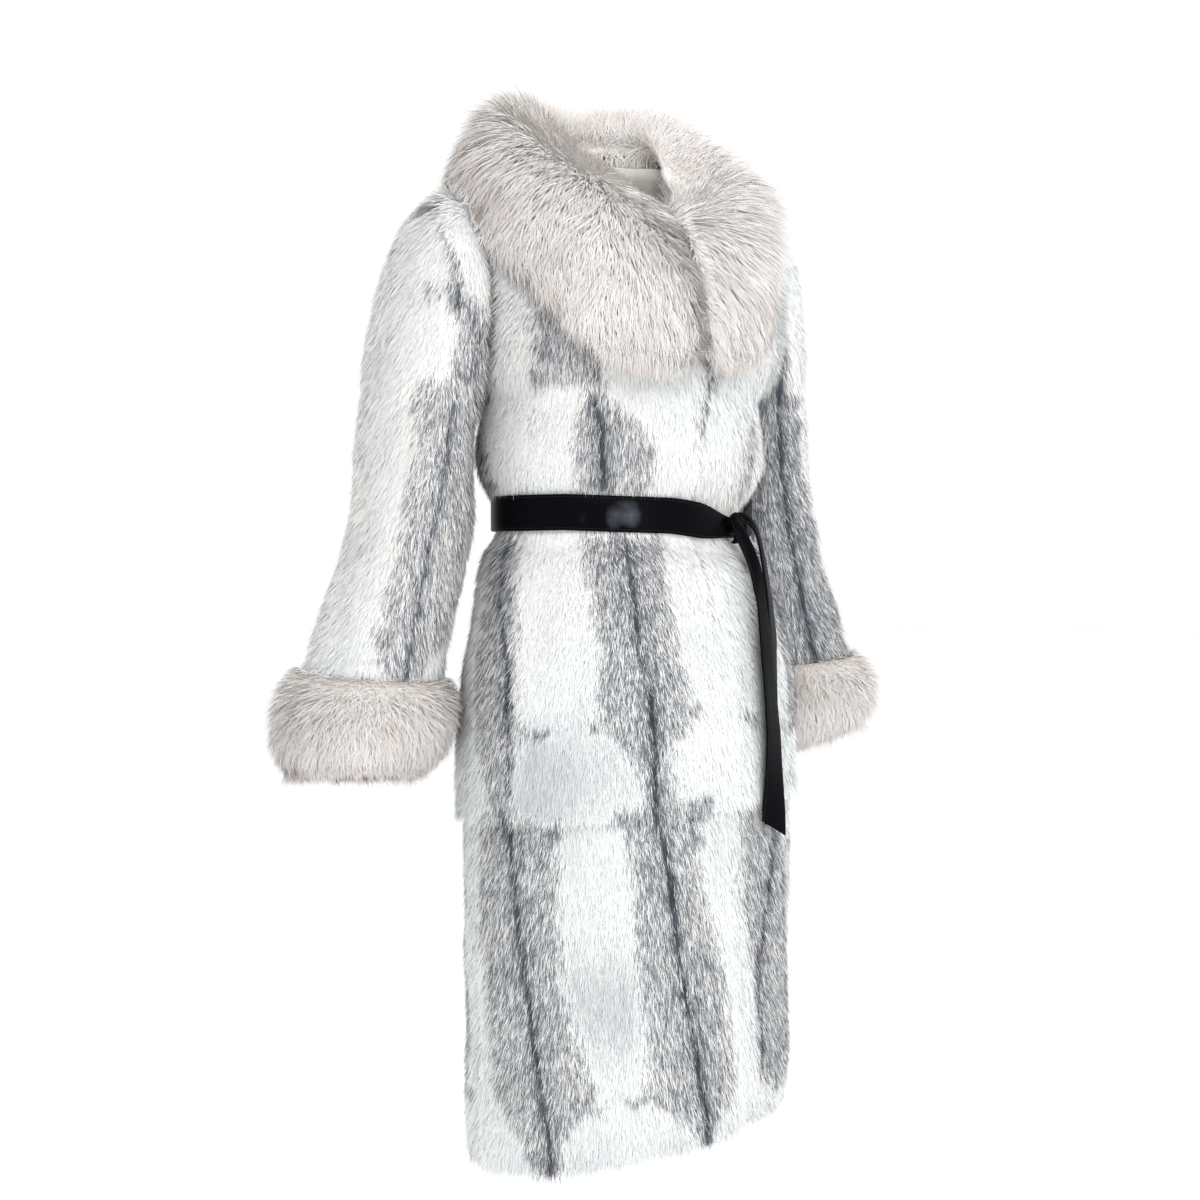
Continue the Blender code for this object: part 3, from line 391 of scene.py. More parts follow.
def blade_mesh(name, roots, normals, lit, flows, sizes, tones, seed, material, bend, segments, share_up):
    """One mesh of tapered blades. sizes has columns length, width and lean; bend lowers the tip.
    Blades are shaded like lit by share_up, and for the rest as they face."""
    rng = np.random.default_rng(seed)
    count = len(roots)
    length, width, lean = (sizes[:, i:i + 1] for i in range(3))
    side = unit(np.cross(normals, flows))
    roll = rng.normal(0.0, ROLL, (count, 1))
    rows = [roots]
    for n in range(1, segments + 1):
        angle = lean * (1 - bend * (n / segments - 0.5 / segments) * 2)
        heading = flows * np.cos(angle) + normals * np.sin(angle)
        rows.append(rows[-1] + heading * length / segments)
    across = unit(side * np.cos(roll) + np.cross(unit(rows[1] - rows[0]), side) * np.sin(roll))
    points = []
    pattern = []
    for n, taper in enumerate(TAPER[segments]):
        half = 0.5 * width * taper
        points += [rows[n] - across * half, rows[n] + across * half]
        a = 2 * n
        pattern += [(a, a + 1, a + 3), (a, a + 3, a + 2)]
    points.append(rows[-1])
    per = len(points)
    pattern = np.array(pattern[:-2] + [(per - 3, per - 2, per - 1)])
    verts = np.stack(points, axis=1).reshape(-1, 3)
    triangles = (np.arange(count)[:, None, None] * per + pattern[None]).reshape(-1, 3)
    a, b, c = (verts[triangles[:, i]] for i in range(3))
    face = unit(np.cross(b - a, c - a)).reshape(count, len(pattern), 3).mean(1)
    flip = np.sign(dot(face, normals))
    flip[flip == 0] = 1
    shade = unit(lit * share_up + unit(face) * flip[:, None] * (1 - share_up))
    triangles = triangles.reshape(count, len(pattern), 3)
    triangles[flip < 0] = triangles[flip < 0][:, :, ::-1]
    triangles = triangles.reshape(-1, 3)
    data = bpy.data.meshes.new(name)
    data.vertices.add(len(verts))
    data.vertices.foreach_set("co", verts.ravel().astype(np.float32))
    data.loops.add(triangles.size)
    data.loops.foreach_set("vertex_index", triangles.ravel().astype(np.int32))
    data.polygons.add(len(triangles))
    data.polygons.foreach_set("loop_start", np.arange(0, triangles.size, 3, dtype=np.int32))
    data.polygons.foreach_set("use_smooth", np.ones(len(triangles), dtype=bool))
    data.update(calc_edges=True)
    layer = data.uv_layers.new(name="OFBake")
    u = np.repeat(tones, per).reshape(count, per) + np.where(np.arange(per) % 2, PATCH, -PATCH)[None]
    u[:, -1] = tones
    along = np.append(np.repeat(np.arange(segments) / segments, 2), 1.0)
    v = np.broadcast_to(along * PALETTE_TIP + PALETTE_ROOT, (count, per))
    places = np.stack([np.clip(u, PATCH, 1 - PATCH), v], axis=-1).reshape(-1, 2)
    layer.data.foreach_set("uv", places[triangles.ravel()].ravel().astype(np.float32))
    data.materials.append(material)
    data.normals_split_custom_set_from_vertices(np.repeat(shade, per, axis=0))
    return put_in_scene(name, data)


def scatter(surface, count, seed, weight=1.0):
    """Roots spread evenly over a surface: triangle of each, and its corner shares."""
    rng = np.random.default_rng(seed)
    a, b, c = (surface.points[surface.triangles[:, i]] for i in range(3))
    area = np.linalg.norm(np.cross(b - a, c - a), axis=1) * weight
    edges = np.concatenate([[0.0], np.cumsum(area)]) / area.sum()
    ticks = (np.arange(count) + rng.random(count)) / count
    index = np.clip(np.searchsorted(edges, ticks, side="right") - 1, 0, len(area) - 1)
    r1 = np.sqrt(rng.random(count))
    r2 = rng.random(count)
    return surface.triangles[index], np.stack([1 - r1, r1 * (1 - r2), r1 * r2], axis=1)


def spread(values, corners, shares):
    """Values of the corners, mixed at each root."""
    mixed = values[corners]
    return (mixed * shares.reshape(shares.shape + (1,) * (mixed.ndim - 2))).sum(1)


def hand_in(name, skin, fur, slot, flat, area):
    """A skin and its fur replace the CAD node."""
    for piece in (skin, fur):
        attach(piece, "root")
    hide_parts(name)


# ---- the pattern of the short fur

# Dark bands of the pelts: rows of height, first and last angle; then the spine as height and angle.
BANDS = [
    # lower tier
    ([(-0.678, -21, -9), (-0.692, -31, 1), (-0.712, -30.5, 1.5), (-0.735, -28, -0.5),
      (-0.762, -26.8, -0.5), (-0.795, -26.8, 2.4), (-0.875, -24.7, 9.7), (-0.940, -21.8, 12.2),
      (-1.000, -21.8, 14.8), (-1.030, -10, 9), (-1.059, -2, 5), (-1.084, 0, 5)],
     [(-0.700, -17), (-0.733, -14.3), (-0.795, -11.5), (-0.858, -9.2), (-0.922, -4.7), (-1.059, 2.3)]),
    ([(-0.690, -80, -64), (-0.704, -86, -51), (-0.722, -90, -49), (-0.800, -90, -48.2), (-0.875, -87, -47.6),
      (-0.937, -84, -41.3), (-1.000, -82, -35.7), (-1.040, -68, -46), (-1.090, -62, -50.4)],
     [(-0.704, -71.4), (-0.766, -68.2), (-0.858, -64.8), (-0.918, -60.7), (-1.040, -54.5),
      (-1.090, -54)]),
    ([(-0.700, 13, 40), (-0.760, 13.5, 50), (-0.805, 14.3, 52), (-0.871, 19.7, 54), (-0.953, 22.3, 56),
      (-0.995, 24, 56), (-1.020, 34, 50)],
     [(-0.700, 36), (-0.744, 34.8), (-0.850, 27.0), (-0.885, 24), (-0.960, 26)]),
    # upper tier below the belt
    ([(-0.395, -46.9, -9), (-0.472, -40.8, -9.4), (-0.535, -38.3, -5.9), (-0.600, -38, -5),
      (-0.619, -29.3, -12.4), (-0.660, -23.1, -9.9), (-0.712, -22, -9)],
     [(-0.400, -27), (-0.422, -26.4), (-0.486, -24.3), (-0.543, -20.5), (-0.623, -18.3), (-0.712, -18)]),
    ([(-0.395, -99, -74), (-0.447, -96, -71), (-0.537, -92, -65.4), (-0.612, -88, -63.2),
      (-0.650, -84, -66), (-0.712, -76, -67)],
     [(-0.395, -86), (-0.470, -80), (-0.537, -70), (-0.712, -66)]),
    # above the belt
    ([(-0.245, -36, -28), (-0.262, -38, -24), (-0.281, -40.8, -14), (-0.355, -46.5, -10.5)],
     [(-0.245, -32), (-0.281, -30.1), (-0.355, -32.5)]),
    ([(-0.080, -50, -33), (-0.135, -51.5, -25), (-0.200, -52, -24), (-0.236, -54, -28)],
     [(-0.080, -31), (-0.160, -29.5), (-0.200, -29), (-0.245, -31)]),
    ([(-0.150, 0, 16), (-0.200, 2, 11), (-0.225, 2, 9), (-0.250, 0, 7), (-0.270, 0, 5),
      (-0.292, 0, 3)],
     [(-0.150, 7), (-0.218, 6.2), (-0.265, 3.4), (-0.292, 1)]),
]
# A faint one by the knot: the same columns.
FAINT_BANDS = [
    ([(-0.268, 27, 36), (-0.300, 25, 38), (-0.340, 24, 40), (-0.362, 30, 44)],
     [(-0.268, 33), (-0.335, 34), (-0.362, 38)]),
]
FAINT_SHARE = 0.62
# Short cross arms where a row of pelts ends: height, half height, first and last angle.
ARMS = [
    (-0.695, 0.011, -33, -18), (-0.688, 0.013, -14, 2.0), (-1.000, 0.007, -28, -18),
    (-0.711, 0.013, -67, -47.9), (-1.008, 0.008, -46, -34.1), (-0.598, 0.007, -40.1, -34),
    (-0.585, 0.007, -10, -2.2), (-0.606, 0.008, -66, -51.3), (-0.597, 0.007, 17.8, 24),
    (-0.310, 0.015, -24, -12.4), (-0.229, 0.008, -56, -46.6), (-0.190, 0.007, -50, -43),
    (-0.596, 0.008, 15.5, 21), (-0.204, 0.006, 6, 16),
]
# The pelts that the front view doesn't show: middle angle and drift down the tier.
HIDDEN_LOWER = [(78.0, 6.0), (116.0, 6.0), (157.0, 5.0), (-160.0, 7.0), (-123.0, 4.0)]
HIDDEN_UPPER = [(58.0, 5.0), (84.0, 4.0), (112.0, -6.0), (158.0, 6.0), (-156.0, 7.0), (-122.0, 6.0)]
HIDDEN_CHEST = [(82.0, -3.0), (112.0, 5.0), (157.0, 3.0), (-158.0, -5.0), (-113.0, 6.0)]
# A hidden pelt's outline: share of the way down its tier and half its width in degrees.
PELT_FORM = [(0.00, 5.0), (0.08, 11.0), (0.25, 16.0), (0.60, 18.0), (0.84, 17.0), (0.93, 8.0), (1.00, 4.0)]
# Middles and drifts, top and bottom of each row of hidden pelts.
HIDDEN_ROWS = [(HIDDEN_LOWER, -0.700, -1.060), (HIDDEN_UPPER, -0.395, -0.640),
               (HIDDEN_CHEST, -0.245, -0.355), (HIDDEN_CHEST, -0.010, -0.236)]


def add_hidden_bands():
    """Lays bands and cross arms out where the photo doesn't show the coat, each a little different."""
    rng = np.random.default_rng(5)
    for middles, top, bottom in HIDDEN_ROWS:
        for middle, drift in middles:
            rows = []
            spine = []
            for share, half in PELT_FORM:
                z = top + (bottom - top) * share
                centre = middle + drift * (share - 0.5) * 2 + rng.uniform(-1.5, 1.5)
                rows.append((z, centre - half * rng.uniform(0.8, 1.2),
                             centre + half * rng.uniform(0.8, 1.2)))
                spine.append((z, centre))
            BANDS.append((rows, spine))
            for share, way in ((0.10, 1), (0.14, -1), (0.88, rng.choice((-1, 1)))):
                z = top + (bottom - top) * share
                near = middle + drift * (share - 0.5) * 2
                reach = near + way * rng.uniform(21, 27)
                ARMS.append((z, rng.uniform(0.006, 0.010), min(near, reach), max(near, reach)))


add_hidden_bands()

# Sleeve bands: the same columns, with angles round the sleeve.
RIGHT_SLEEVE_BANDS = [
    ([(-0.058, 18, 27), (-0.081, 38, 50), (-0.101, 44, 55), (-0.118, 50, 64), (-0.136, 42, 76),
      (-0.152, 54, 92), (-0.170, 68, 112), (-0.191, 66, 128), (-0.236, 70, 135)],
     [(-0.058, 22), (-0.081, 44), (-0.118, 60), (-0.152, 66), (-0.177, 96), (-0.236, 100)]),
    ([(-0.236, 38, 140), (-0.259, 36, 145), (-0.290, 48, 150), (-0.313, 50, 150), (-0.366, 49, 145),
      (-0.430, 50, 140), (-0.472, 50, 145), (-0.510, 46, 140), (-0.535, 60, 120), (-0.560, 74, 104)],
     [(-0.236, 88), (-0.270, 83.6), (-0.320, 86.7), (-0.430, 88), (-0.560, 92)]),
    ([(-0.245, 200, 250), (-0.300, 196, 262), (-0.420, 204, 268), (-0.520, 214, 262), (-0.560, 230, 248)],
     [(-0.245, 226), (-0.400, 232), (-0.560, 238)]),
    ([(-0.060, 236, 262), (-0.110, 222, 270), (-0.190, 214, 276), (-0.236, 226, 262)],
     [(-0.060, 250), (-0.236, 244)]),
    ([(-0.245, 284, 304), (-0.330, 280, 310), (-0.440, 280, 310), (-0.520, 288, 304), (-0.556, 294, 300)],
     [(-0.245, 294), (-0.400, 297), (-0.556, 297)]),
]
LEFT_SLEEVE_BANDS = [
    ([(-0.150, 92, 124), (-0.176, 82, 140), (-0.236, 80, 150), (-0.262, 62, 155), (-0.300, 68, 155),
      (-0.365, 62, 155), (-0.430, 54, 155), (-0.486, 44, 155), (-0.535, 40, 150), (-0.560, 46, 140)],
     [(-0.150, 96), (-0.300, 104), (-0.430, 108), (-0.560, 104)]),
    ([(-0.060, 236, 262), (-0.150, 218, 274), (-0.236, 226, 262), (-0.300, 210, 266), (-0.420, 206, 268),
      (-0.520, 214, 262), (-0.560, 230, 248)],
     [(-0.060, 250), (-0.300, 240), (-0.560, 238)]),
    ([(-0.245, -30, -6), (-0.330, -38, 0), (-0.440, -40, 2), (-0.520, -26, -6), (-0.556, -18, -12)],
     [(-0.245, -16), (-0.400, -20), (-0.556, -14)]),
]
RIGHT_SLEEVE_ARMS = [(-0.139, 0.009, 32, 64), (-0.247, 0.010, 38, 74), (-0.528, 0.004, 34, 64),
                     (-0.045, 0.010, -18, 18)]
LEFT_SLEEVE_ARMS = [(-0.240, 0.009, 60, 90), (-0.520, 0.008, 66, 90)]

BODY_MM = 3.2               # millimetres in a degree round the body
SLEEVE_MM = 1.5
BAND_DARK = 0.54
SPINE_DARK = 0.32
STREAK_DARK = 0.10
ARM_DARK = 0.56
ARM_STREAK = 0.2
# By side: bands, arms, strength.
SLEEVE_PATTERNS = {-1: (RIGHT_SLEEVE_BANDS, RIGHT_SLEEVE_ARMS, 0.88),
                   1: (LEFT_SLEEVE_BANDS, LEFT_SLEEVE_ARMS, 1.10)}
# The closing edge of the fronts: height, angle, how clearly it shows.
CLOSING = [(-0.660, 8.5, 0.0), (-0.600, 6.2, 0.4), (-0.526, 5.4, 0.5), (-0.476, 4.8, 0.8), (-0.430, 6.6, 1.0),
           (-0.360, 5.0, 1.0), (-0.300, 2.0, 1.0), (-0.270, 1.0, 0.0)]
# The dark line along the closing edge is painted shadow, this dark.
CLOSING_SHADOW = 0.50
CLOSING_HALF_MM = 1.5       # half width of its painted shadow line, and of the groove along it
CLOSING_GROOVE_MM = 2.6
CLOSING_GROOVE = 0.0030     # the groove's depth


def banded(deg, z, bands, arms, mm, wobble, streak, strength=1.0):
    """Share of dark hair at each place, from 0 to 1."""
    broken = smoothstep(noise(np.stack([deg * 0.02, z * 0.5, z * 0], axis=1), 0.016)[:, 0] + 0.55)
    dark = np.zeros(len(deg))
    deg_w = deg + wobble[:, 0] * 7.0 / mm
    z_w = z + wobble[:, 1] * 0.006
    for rows, spine in bands:
        heights, first, last = (np.array(column)[::-1] for column in zip(*rows))
        low, high = np.interp(z_w, heights, first), np.interp(z_w, heights, last)
        inside = ((high - low) / 2 - np.abs(turned(deg_w - (low + high) / 2))) * mm
        ends = np.minimum(z_w - heights[0], heights[-1] - z_w) * 1000
        cover = smoothstep((np.minimum(inside, ends + 6) + 12) / 30)
        line = np.interp(z_w, *(column[::-1] for column in zip(*spine)))
        off = turned(deg + wobble[:, 2] * 2.0 / mm - line) * mm
        ridge = bell(off / 3.2) * (0.35 + 0.65 * broken) + 0.45 * bell(off / 13.0)
        dark = np.maximum(dark, cover * (BAND_DARK + SPINE_DARK * ridge + STREAK_DARK * streak))
    for height, half, first, last in arms:
        inside = ((last - first) / 2 - np.abs(turned(deg_w - (first + last) / 2))) * mm
        tall = (half - np.abs(z_w - height)) * 1000
        cover = smoothstep((np.minimum(inside, tall) + 3) / 8)
        dark = np.maximum(dark, cover * (ARM_DARK + ARM_STREAK * streak))
    return np.clip(dark * strength, 0.0, 1.0)


def closing_line(points, angle, half_mm):
    """1 on the line where the fronts meet, 0 away from it."""
    heights, angles, shows = zip(*CLOSING)
    off = (angle - np.interp(points[:, 2], heights, angles)) * BODY_MM / half_mm
    return bell(off) * np.interp(points[:, 2], heights, shows)


def dark_share(points, side):
    """Share of dark hair at each point of the body or of a sleeve; on the body it also holds a painted shadow
    along the closing edge of the fronts.
    """
    z = points[:, 2]
    wobble = noise(points, 0.014) * 0.6 + noise(points + 3.1, 0.005) * 0.5
    streak = noise(points * np.array([1.0, 1.0, 0.16]) + 7.7, 0.0032)[:, 0]
    if side:
        bands, arms, strength = SLEEVE_PATTERNS[side]
        return banded(sleeve_angle(points, side), z, bands, arms, SLEEVE_MM, wobble, streak, strength)
    angle = body_angle(points)
    faint = banded(angle, z, FAINT_BANDS, [], BODY_MM, wobble, streak, FAINT_SHARE)
    # painted shadow along the closing edge of the fronts
    closing_shadow = CLOSING_SHADOW * closing_line(points, angle + wobble[:, 0] * 0.5, CLOSING_HALF_MM)
    return np.maximum(np.maximum(faint, closing_shadow), banded(angle, z, BANDS, ARMS, BODY_MM, wobble, streak))


# ---- materials


class Material:
    """A Principled material with short ways to add nodes. An input gets a value or a node's output."""

    def __init__(self, name, roughness, specular, sheen=0.0):
        self.data = bpy.data.materials.new(name)
        self.data.use_nodes = True
        self.tree = self.data.node_tree
        self.coords = None
        self.shade({"Roughness": roughness, "Specular IOR Level": specular, "Sheen Weight": sheen})

    def feed(self, node, inputs):
        for key, value in inputs.items():
            if isinstance(value, bpy.types.NodeSocket):
                self.tree.links.new(value, node.inputs[key])
            else:
                node.inputs[key].default_value = value

    def shade(self, inputs):
        self.feed(self.tree.nodes["Principled BSDF"], inputs)

    def node(self, kind, inputs=(), **settings):
        """The outputs of a new node."""
        node = self.tree.nodes.new("ShaderNode" + kind)
        for key, value in settings.items():
            setattr(node, key, value)
        self.feed(node, dict(inputs))
        return node.outputs

    def texture(self, kind, inputs, output="Fac", **settings):
        """A texture in the object's own coordinates."""
        if self.coords is None:
            self.coords = self.node("TexCoord")["Object"]
        return self.node("Tex" + kind, {"Vector": self.coords, **inputs}, **settings)[output]

    def tone(self):
        return self.node("Attribute", attribute_name="tone")["Fac"]

    def ramp(self, stops, source):
        node = self.tree.nodes.new("ShaderNodeValToRGB")
        elements = node.color_ramp.elements
        while len(elements) < len(stops):
            elements.new(0.5)
        for element, (place, color) in zip(elements, stops):
            element.position = place
            element.color = (*color, 1.0)
        self.feed(node, {"Fac": source})
        return node.outputs["Color"]

    def multiplied(self, a, b):
        inputs = {"Factor": 1.0, "A": a, "B": b}
        return self.node("Mix", inputs, data_type="RGBA", blend_type="MULTIPLY")["Result"]

    def bump(self, height, strength, distance):
        inputs = {"Strength": strength, "Distance": distance, "Height": height}
        self.shade({"Normal": self.node("Bump", inputs)["Normal"]})


SHORT_TONES = [(0.00, (0.48, 0.50, 0.51)), (0.06, (0.93, 0.96, 0.96)), (0.12, (0.95, 0.95, 0.935)),
               (0.18, (0.92, 0.90, 0.865)), (0.30, (0.51, 0.53, 0.56)), (0.50, (0.225, 0.240, 0.270)),
               (0.75, (0.080, 0.088, 0.105)), (1.00, (0.030, 0.031, 0.036))]
SHORT_DEPTH = [(0.0, (0.92, 0.92, 0.93)), (0.45, (0.98, 0.98, 0.98)), (1.0, (1.0, 1.0, 1.0))]
FOX_TONES = [(0.00, (0.94, 0.93, 0.922)), (0.30, (0.80, 0.770, 0.750)), (0.60, (0.58, 0.525, 0.485)),
             (1.00, (0.34, 0.31, 0.30))]
# Root to tip: the greyer tips are the fur's own colour; the roots are painted lighter to lift the shade
# between the hairs.
FOX_DEPTH = [(0.0, (1.0, 0.98, 0.96)), (0.6, (0.97, 0.96, 0.95)), (1.0, (0.84, 0.81, 0.80))]
UNDERFUR_DIM = (0.94, 0.94, 0.94, 1.0)
UNDERFUR_MOTTLE = 0.06
LINING_TONES = [(0.3, (0.62, 0.58, 0.54)), (0.7, (0.70, 0.66, 0.62))]
# The light end of the leather's ramp shows scuff marks and a painted highlight.
LEATHER_DARK = (0.0012, 0.0014, 0.0024)
LEATHER_TONES = [(0.0, LEATHER_DARK), (0.12, LEATHER_DARK), (0.55, (0.066, 0.069, 0.088))]
THREAD_TONES = [(0.2, (0.012, 0.012, 0.015)), (0.8, (0.030, 0.030, 0.036))]


def fur_material(name, tones, depth_stops, roughness):
    """Colour from the blade's place in a small palette: tone across, root to tip along."""
    material = Material(name, roughness, 0.25)
    across, along, _ = material.node("SeparateXYZ", {"Vector": material.node("UVMap", uv_map="OFBake")["UV"]})
    color = material.multiplied(material.ramp(tones, across), material.ramp(depth_stops, along))
    material.shade({"Base Color": color})
    return material.data


def skin_material(name, tones):
    """The dense underfur seen between the blades: the same colours, a little darker."""
    material = Material(name, 0.9, 0.1)
    fine = material.texture("Noise", {"Scale": 900.0, "Detail": 3.0})
    inputs = {0: fine, 1: UNDERFUR_MOTTLE, 2: material.tone()}
    mottled = material.node("Math", inputs, operation="MULTIPLY_ADD")[0]
    material.shade({"Base Color": material.multiplied(material.ramp(tones, mottled), UNDERFUR_DIM)})
    material.bump(fine, 0.5, 0.001)
    return material.data


def lining_material():
    """Light satin with a fine twill."""
    material = Material("lining_satin", 0.36, 0.5, 0.2)
    material.shade({"Base Color": material.ramp(LINING_TONES, material.texture("Noise", {"Scale": 22.0}))})
    material.bump(material.texture("Wave", {"Scale": 900.0}, bands_direction="DIAGONAL"), 0.12, 0.0004)
    return material.data


def leather_material():
    """Grained leather; the tone attribute brings out scuff marks and a painted highlight."""
    material = Material("belt_leather", 0.36, 0.035)
    cloud = material.texture("Noise", {"Scale": 60.0, "Detail": 5.0})
    amount = material.node("Math", {0: cloud, 1: material.tone()}, operation="MULTIPLY")[0]
    material.shade({"Base Color": material.ramp(LEATHER_TONES, amount)})
    material.bump(material.texture("Voronoi", {"Scale": 1100.0}, "Distance"), 0.22, 0.0003)
    return material.data


def thread_material():
    """Waxed dark thread."""
    material = Material("belt_thread", 0.5, 0.2)
    material.shade({"Base Color": material.ramp(THREAD_TONES, material.texture("Wave", {"Scale": 1500.0}))})
    return material.data


SHORT_SKIN = skin_material("short_fur_underfur", SHORT_TONES)
FOX_SKIN = skin_material("fox_fur_underfur", FOX_TONES)
LINING = lining_material()
LEATHER = leather_material()
THREAD = thread_material()
SHORT_BLADE = {"material": fur_material("short_fur_blades", SHORT_TONES, SHORT_DEPTH, 0.55),
               "bend": 0.0, "segments": 1, "share_up": 0.95}
FOX_BLADE = {"material": fur_material("fox_fur_blades", FOX_TONES, FOX_DEPTH, 0.5),
             "bend": 0.35, "segments": 2, "share_up": 0.94}

# ---- short fur panels

PILE = 0.0056               # the skin lies this far behind the tips
SKIN_THICK = 0.0066
SKIN_TONE = 0.7             # the skin's tone is this share of the hair's darkness
SKIN_LIGHTEST = 0.05
HEM_MARGIN = 0.007
COVERED = 0.020             # no fur grows where another piece lies this close over the surface
COVER_EDGE = 0.011          # but it does grow this near the lower edge of that piece
HAIR_LONG = 0.0138
HAIR_WIDE = 0.00124
HAIR_LEAN = 22.0            # degrees from the skin
COLUMN_HALF_MM = 5.0        # half width of a seam down the body
BLOUSE_OUT = 0.0075         # the sides puff out over the belt by this much

# Seams round the coat: height, depth, half width. Seams down the body: angle, depth.
BODY_SEAMS = [(-0.240, 0.0016, 0.006), (-0.606, 0.0016, 0.006), (-1.006, 0.0014, 0.006)]
BODY_COLUMNS = [(-45.0, 0.0014), (-90.0, 0.0012), (45.0, 0.0012), (90.0, 0.0012), (135.0, 0.0014),
                (-135.0, 0.0014), (180.0, 0.0016), (-2.0, 0.0008)]
SLEEVE_SEAMS = [(-0.152, 0.0022, 0.008), (-0.240, 0.0026, 0.008), (-0.330, 0.0014, 0.008),
                (-0.425, 0.0016, 0.009), (-0.528, 0.0020, 0.007)]
# Creases: height, angle, half height and half width in millimetres, depth.
BODY_CREASES = [
    (-0.300, -58.0, 26, 5, 0.0030), (-0.330, -72.0, 22, 5, 0.0028), (-0.430, -58.0, 30, 4, 0.0030),
    (-0.440, -8.0, 30, 4, 0.0028), (-0.460, 12.0, 34, 5, 0.0034), (-0.560, 14.0, 40, 5, 0.0026),
    (-0.640, 13.0, 36, 5, 0.0030), (-0.330, 8.0, 30, 5, 0.0030), (-0.270, 6.0, 24, 5, 0.0026),
    (-0.480, -112.0, 40, 6, 0.0034), (-0.470, 150.0, 44, 6, 0.0034), (-0.520, -165.0, 46, 6, 0.0030),
    (-0.320, 128.0, 24, 5, 0.0028), (-0.330, -140.0, 26, 5, 0.0030), (-0.900, 58.0, 60, 7, 0.0026),
    (-0.880, -32.0, 60, 7, 0.0022), (-0.930, 138.0, 70, 8, 0.0028), (-0.860, -140.0, 64, 8, 0.0026),
    (-1.040, -36.0, 30, 6, 0.0024), (-1.020, 90.0, 34, 7, 0.0026),
]
SLEEVE_CREASES = [
    (-0.190, 12.0, 9, 16, 0.0032), (-0.215, 40.0, 8, 20, 0.0026), (-0.275, 120.0, 8, 22, 0.0030),
    (-0.300, 24.0, 8, 18, 0.0020), (-0.350, 130.0, 8, 22, 0.0030), (-0.375, 60.0, 8, 20, 0.0018),
    (-0.390, 200.0, 8, 26, 0.0030), (-0.310, 240.0, 8, 24, 0.0026), (-0.460, 20.0, 8, 22, 0.0020),
    (-0.200, 250.0, 8, 22, 0.0026), (-0.470, 140.0, 8, 24, 0.0022),
]


def blouse(points, angle):
    """1 where the sides puff out over the belt."""
    z = points[:, 2]
    return bell((np.abs(angle) - 116.0) / 30.0) * fade(z, -0.366, 0.016) * fade(z, -0.262, -0.05)


def creased(points, side):
    """How far each point of a surface is pushed in (+) or out (-) by seams, creases and soft lumps."""
    z = points[:, 2]
    push = noise(points, 0.062)[:, 0] * 0.0022 + noise(points + 2.0, 0.024)[:, 1] * 0.0010 + 0.0004
    if side:
        angle = sleeve_angle(points, side)
        seams, creases, mm = SLEEVE_SEAMS, SLEEVE_CREASES, SLEEVE_MM
    else:
        angle = body_angle(points)
        seams, creases, mm = BODY_SEAMS, BODY_CREASES, BODY_MM
        wandering = angle + noise(points, 0.07)[:, 1] * 1.5
        for column, depth in BODY_COLUMNS:
            push = push + depth * bell(turned(wandering - column) * mm / COLUMN_HALF_MM)
        push = push + CLOSING_GROOVE * closing_line(points, angle, CLOSING_GROOVE_MM)
        push = push - BLOUSE_OUT * blouse(points, angle)
    wandering = z + noise(points, 0.05)[:, 0] * 0.004
    for height, depth, half in seams:
        push = push + depth * bell((wandering - height) / half)
    for height, middle, tall, wide, depth in creases:
        off = turned(angle - middle) * mm / wide
        push = push + depth * np.exp(-off ** 2 - ((z - height) * 1000 / tall) ** 2)
    return push


def covered_triangles(surface, others):
    """Triangles that another CAD node lies closely over."""
    trees = node_trees(others)
    starts = (Vector((0, 0, 0)), Vector((0, 0, -COVER_EDGE)))
    hidden = []
    for p, n in zip(surface.points[surface.triangles].mean(1), surface.normals[surface.triangles].mean(1)):
        way = Vector(unit(n))
        hidden.append(all(any_hit(trees, Vector(p) - way * 0.002 + start, way, COVERED) for start in starts))
    return np.array(hidden)


def flow_down(points, normals, side):
    """Unit vectors along the lie of the hair, in the surface."""
    height = points[:, 2:3]
    if side:
        top, elbow, end = (np.array(v[:]) for v in arm_line(side))
        share = smoothstep((height - elbow[2] + 0.06) / 0.12)
        rise = fade(height, -0.10, 0.08)
        down = unit(elbow - top) * share + unit(end - elbow) * (1 - share)
        down = down * (1 - rise) + np.array([side * 0.8, 0, -0.3]) * rise
    else:
        down = np.tile(DOWN, (len(points), 1))
        down[:, 0] += np.sign(points[:, 0]) * np.clip((points[:, 2] + 0.12) / 0.10, 0, 1) * 0.8
    return unit(in_surface(down, normals))


def armhole_valley(points, side):
    """Where the sleeve's front meets the body: 1 in the valley between them, fading out."""
    x, y, z = points.T
    if side:
        angle = sleeve_angle(points, side)
        near = fade(angle, 96, 26) * fade(angle, 190, -30)
    else:
        near = fade(np.abs(x), 0.138, 0.03) * fade(y, 0.05, -0.04)
    return near * fade(z, -0.285, 0.03) * fade(z, -0.02, -0.04)


def creaminess(points, side):
    """How warm the white hair is, from 0 to 1."""
    return np.clip(0.35 + 0.35 * noise(points, 0.09)[:, 0] + (0.22 if side else 0.0), 0, 1)


